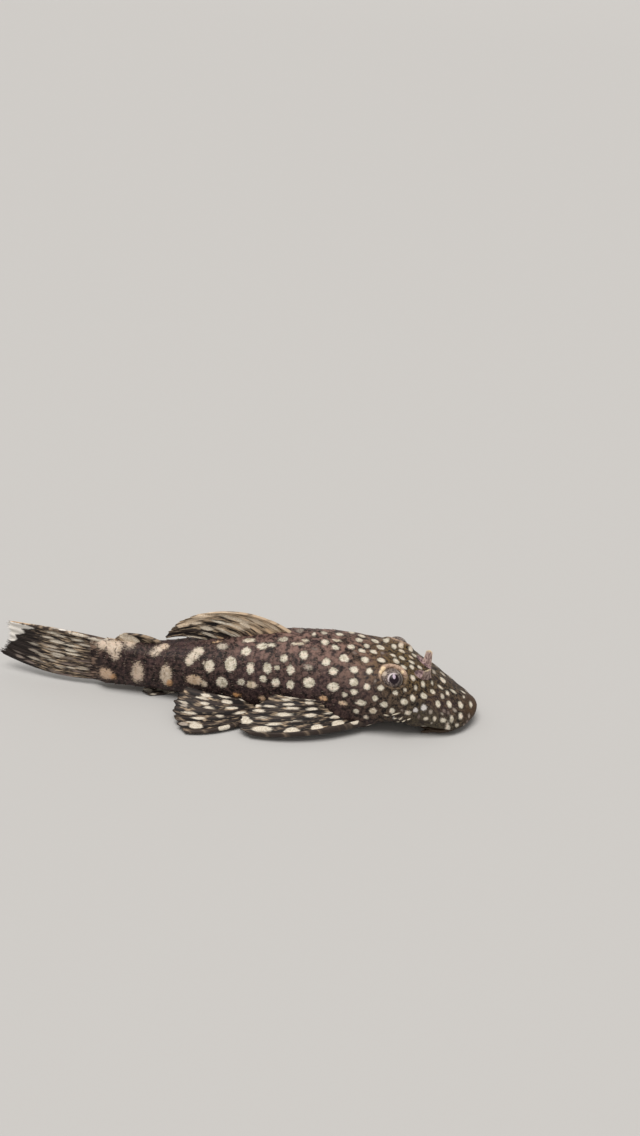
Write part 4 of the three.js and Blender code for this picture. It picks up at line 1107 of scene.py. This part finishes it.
def fin_mesh(fin, hand):
    """Points, faces and attributes of a fin: a front and a back sheet, half a thickness off the
    middle sheet. The thickness is the membrane's, and more on the rays, whose two branches part
    from a third of the way on. Rounded columns beyond the outer rays close the side edges."""
    gaps = fin["rays"] - 1
    inner = np.linspace(0, 1, gaps * COLUMNS_PER_RAY + 1)
    u = np.concatenate((0 * SIDE_BENDS, inner, 0 * SIDE_BENDS + 1))[:, None]
    beyond = np.concatenate((-np.sin(SIDE_BENDS), 0 * inner, np.sin(SIDE_BENDS[::-1])))[:, None]
    thin = np.concatenate((np.cos(SIDE_BENDS), 0 * inner + 1, np.cos(SIDE_BENDS[::-1])))[:, None]
    v = np.linspace(fin["root"], 1, FIN_ROWS)
    way = np.clip(v, 0, 1)
    ray_place = u * gaps
    fork = FORK * soft(v, 0.35, 1.0) ** 1.3
    from_ray = ray_place - np.round(ray_place)
    branch = np.minimum(np.abs(from_ray - fork), np.abs(from_ray + fork))
    ridge = hump(branch, 0.15) + 0 * v
    is_spine = hump(ray_place, 0.3) + 0 * v
    spine = fin["spine"] + (fin["spine_tip"] - fin["spine"]) * way
    ray = fin["ray"] + (fin["tip"] - fin["ray"]) * way
    membrane = fin["membrane"] * (1 - 0.5 * way)
    half = (membrane + (ray - membrane) * ridge) / 2
    half = np.maximum(half, is_spine * spine / 2) * thin
    length = 1 - fin["notch"] * (1 - ridge[:, -1:]) - FRAY * (1 + np.sin(7.3 * ray_place))
    half = half * (1 - 0.6 * soft(v, 0.94, 1))
    at = v * length
    across, along, out = patch_axes(fin, hand, u + 0 * at, at)
    edge = np.where(beyond < 0, spine, ray) / 2
    sheet = patch_point(fin, hand, u + 0 * at, at) + across * (beyond * edge)[..., None]
    wave = WAVE * np.sin(2.3 * ray_place + 6 * v) * way ** 2
    sheet = sheet + out * wave[..., None]
    points = np.stack([sheet + out * half[..., None], sheet - out * half[..., None]]).reshape(-1, 3)
    points[:, 2] = np.maximum(points[:, 2], 0)
    far = len(u) * FIN_ROWS
    index = np.arange(far).reshape(-1, FIN_ROWS)
    front = np.stack([index[:-1, :-1], index[1:, :-1], index[1:, 1:], index[:-1, 1:]], -1).reshape(-1, 4)
    behind = front[:, [0, 3, 2, 1]] + far
    border = np.concatenate((index[:, 0], index[-1, 1:], index[-2::-1, -1], index[0, -2:0:-1]))
    following = np.roll(border, -1)
    rim = np.stack([border, border + far, following + far, following], -1)
    along_mm = np.linalg.norm(sheet[:, -1] - sheet[:, 0], axis=-1)[:, None] * v
    lie = np.stack([ray_place + 0 * v, along_mm, at], -1).reshape(-1, 3)
    stain = fin["stain"] + fin["fade"] * u - fin["dark_tip"] * soft(v, 0.55, 0.8)
    attributes = {
        "lie": np.tile(lie, (2, 1)),
        "ridge": np.tile(np.maximum(ridge, is_spine).ravel(), 2),
        "stain": np.tile(stain.ravel(), 2),
    }
    return points, np.concatenate([front, behind, rim]), attributes


def fin_marks(fin, hand, listed, dice):
    """The listed marks on a fin. Each is placed on the seen fin, where its pixel falls on the side
    towards the lens. A hidden fin repeats them on its outer side, shaken a little."""
    points, _, attributes = fin_mesh(fin, -1)
    pixels = in_photo(points)
    depth = np.linalg.norm(points - np.array(lens_at) / MM, axis=1)
    ray_place, _, way = attributes["lie"].T
    share = ray_place / (fin["rays"] - 1)
    hidden_side = np.roll(fin_mesh(fin, hand)[0], len(points) // 2, axis=0) if hand > 0 else points
    marks = []
    for x, y, long, wide, shade in listed:
        at = np.argmin(np.linalg.norm(pixels - (x, y), axis=-1) + depth)
        across, along, _ = patch_axes(fin, -1, share[at], way[at])
        length = FIN_MARK["longer"] * long / pixels_per_mm(points[at], along)
        width = FIN_MARK["thinner"] * wide / pixels_per_mm(points[at], across)
        width = min(width, FIN_MARK["widest"] * length)
        point = points[at]
        shade = shade if shade > 1 else shade - fin["dim"]
        if hand > 0:
            _, along, _ = patch_axes(fin, hand, share[at], way[at])
            point = hidden_side[at] + along * dice.uniform(-FIN_MARK["shake"], FIN_MARK["shake"])
        marks.append((point, along, length, width, shade))
    return marks


def dashes(fin, hand, dice):
    """Pale dashes in arcs across the rays, one on each ray at nearly the same share of the way."""
    marks = []
    for arc in DASH["arcs"]:
        for u in np.linspace(0, 1, fin["rays"]):
            v = np.array(arc + dice.uniform(-0.03, 0.03))
            size = dice.uniform(0.75, 1.25)
            point, along = patch_point(fin, hand, u, v), patch_axes(fin, hand, u, v)[1]
            marks.append((point, along, DASH["length"] * size, DASH["width"] * size, 0))
    return marks


fin_pieces = []
for name, fin in FINS.items():
    is_pair = name in ("pectoral_fin", "pelvic_fin")
    for word, hand in [("_left", 1), ("_right", -1)] if is_pair else [("", -1)]:
        dice = np.random.default_rng(len(name) + hand)
        marks = fin_marks(fin, hand, FIN_MARKS[name], dice)
        if name == "caudal_fin":
            marks += fin_marks(fin, hand, [mark for mark in TAIL_SPOTS if mark[0] < 120], dice)
        if name == "anal_fin":
            marks += dashes(fin, hand, dice)
        points, faces, attributes = fin_mesh(fin, hand)
        attributes["mark"], attributes["tint"] = mark_distance(points, marks)
        fin_pieces.append(make_piece(name.replace("fin", "vane") + word, points, faces, attributes,
                                     [name + word]))

w = start_material("fin", *fin_pieces)
here = w.in_mm()
on_fin = w.attribute("lie", "Vector")
grain = w.noise(here, 5.0, 3.0)
streaks = w.noise(on_fin.stretched(2.6, 0.42, 0.0), 1.0, 3.0)
fine = w.noise(on_fin.stretched(9.0, 0.8, 0.0), 1.0)
edge = w.attribute("mark") + (fine - 0.5) * 0.5 + (grain - 0.5) * 0.15
pale = 1 - edge.rise(-0.08, 0.1)
_, _, way = on_fin.parts()
stained = (streaks * 0.7 + fine * 0.3 + w.attribute("stain")).rise(0.65, 0.86)
ground = layered(
    stained.between((17, 11, 11), (204, 180, 152)),
    (w.attribute("ridge").rise(0.3, 0.9) * 0.18, (118, 100, 90)),
    (way.rise(0.16, 0.0) * 0.75, grain.rise(0.4, 0.6).between((40, 29, 28), (84, 66, 60))),
)
cream = grain.rise(0.3, 0.7).between((190, 178, 160), (228, 221, 207))
spot = tinted(cream, w.attribute("tint"), (206, 164, 116), (232, 228, 222), (104, 88, 84))
end_material(w, pale.between(ground, spot), grain * 0.15 + 0.5, 0.25, grain * 0.02 + fine * 0.04)

# The floor and the light
# A plain pale floor that rises far from the fish like a studio's backdrop, by the square of the way
# past its flat middle, under one wide soft light from above and the even light of a pale room.
FLOOR = {"flat": 4.0, "edge": 20.0, "rise": 0.02}
FLOOR_RINGS = 33
FLOOR_STEPS = 96
way_out = np.linspace(FLOOR["flat"], FLOOR["edge"], FLOOR_RINGS)[:, None]
angle = np.linspace(0, 2 * np.pi, FLOOR_STEPS, endpoint=False)
floor_height = FLOOR["rise"] * (way_out - FLOOR["flat"]) ** 2 + 0 * angle
floor_points = np.stack([way_out * np.cos(angle), way_out * np.sin(angle), floor_height], -1)
floor_faces = grid_faces(FLOOR_RINGS, FLOOR_STEPS)[:, ::-1].tolist() + [list(range(FLOOR_STEPS))]
floor_mesh = bpy.data.meshes.new("floor")
floor_mesh.from_pydata(floor_points.reshape(-1, 3), [], floor_faces, shade_flat=False)
floor = bpy.data.objects.new("floor", floor_mesh)
bpy.context.scene.collection.objects.link(floor)
w = start_material("floor", floor)
end_material(w, paint(190, 190, 190), 0.9, 0.1)

sun = bpy.data.objects.new("sun", bpy.data.lights.new("sun", "SUN"))
sun.data.energy = 2.6
sun.data.color = (1, 0.96, 0.91)
sun.data.angle = np.radians(40)
sun.rotation_euler = Vector((-0.12, -0.26, 0.95)).to_track_quat("Z", "Y").to_euler()
bpy.context.scene.collection.objects.link(sun)
world = bpy.data.worlds.new("room")
world.use_nodes = True
world.node_tree.nodes["Background"].inputs["Color"].default_value = (1, 0.965, 0.92, 1)
world.node_tree.nodes["Background"].inputs["Strength"].default_value = 0.42
bpy.context.scene.world = world
bpy.context.scene.view_settings.view_transform = "Standard"
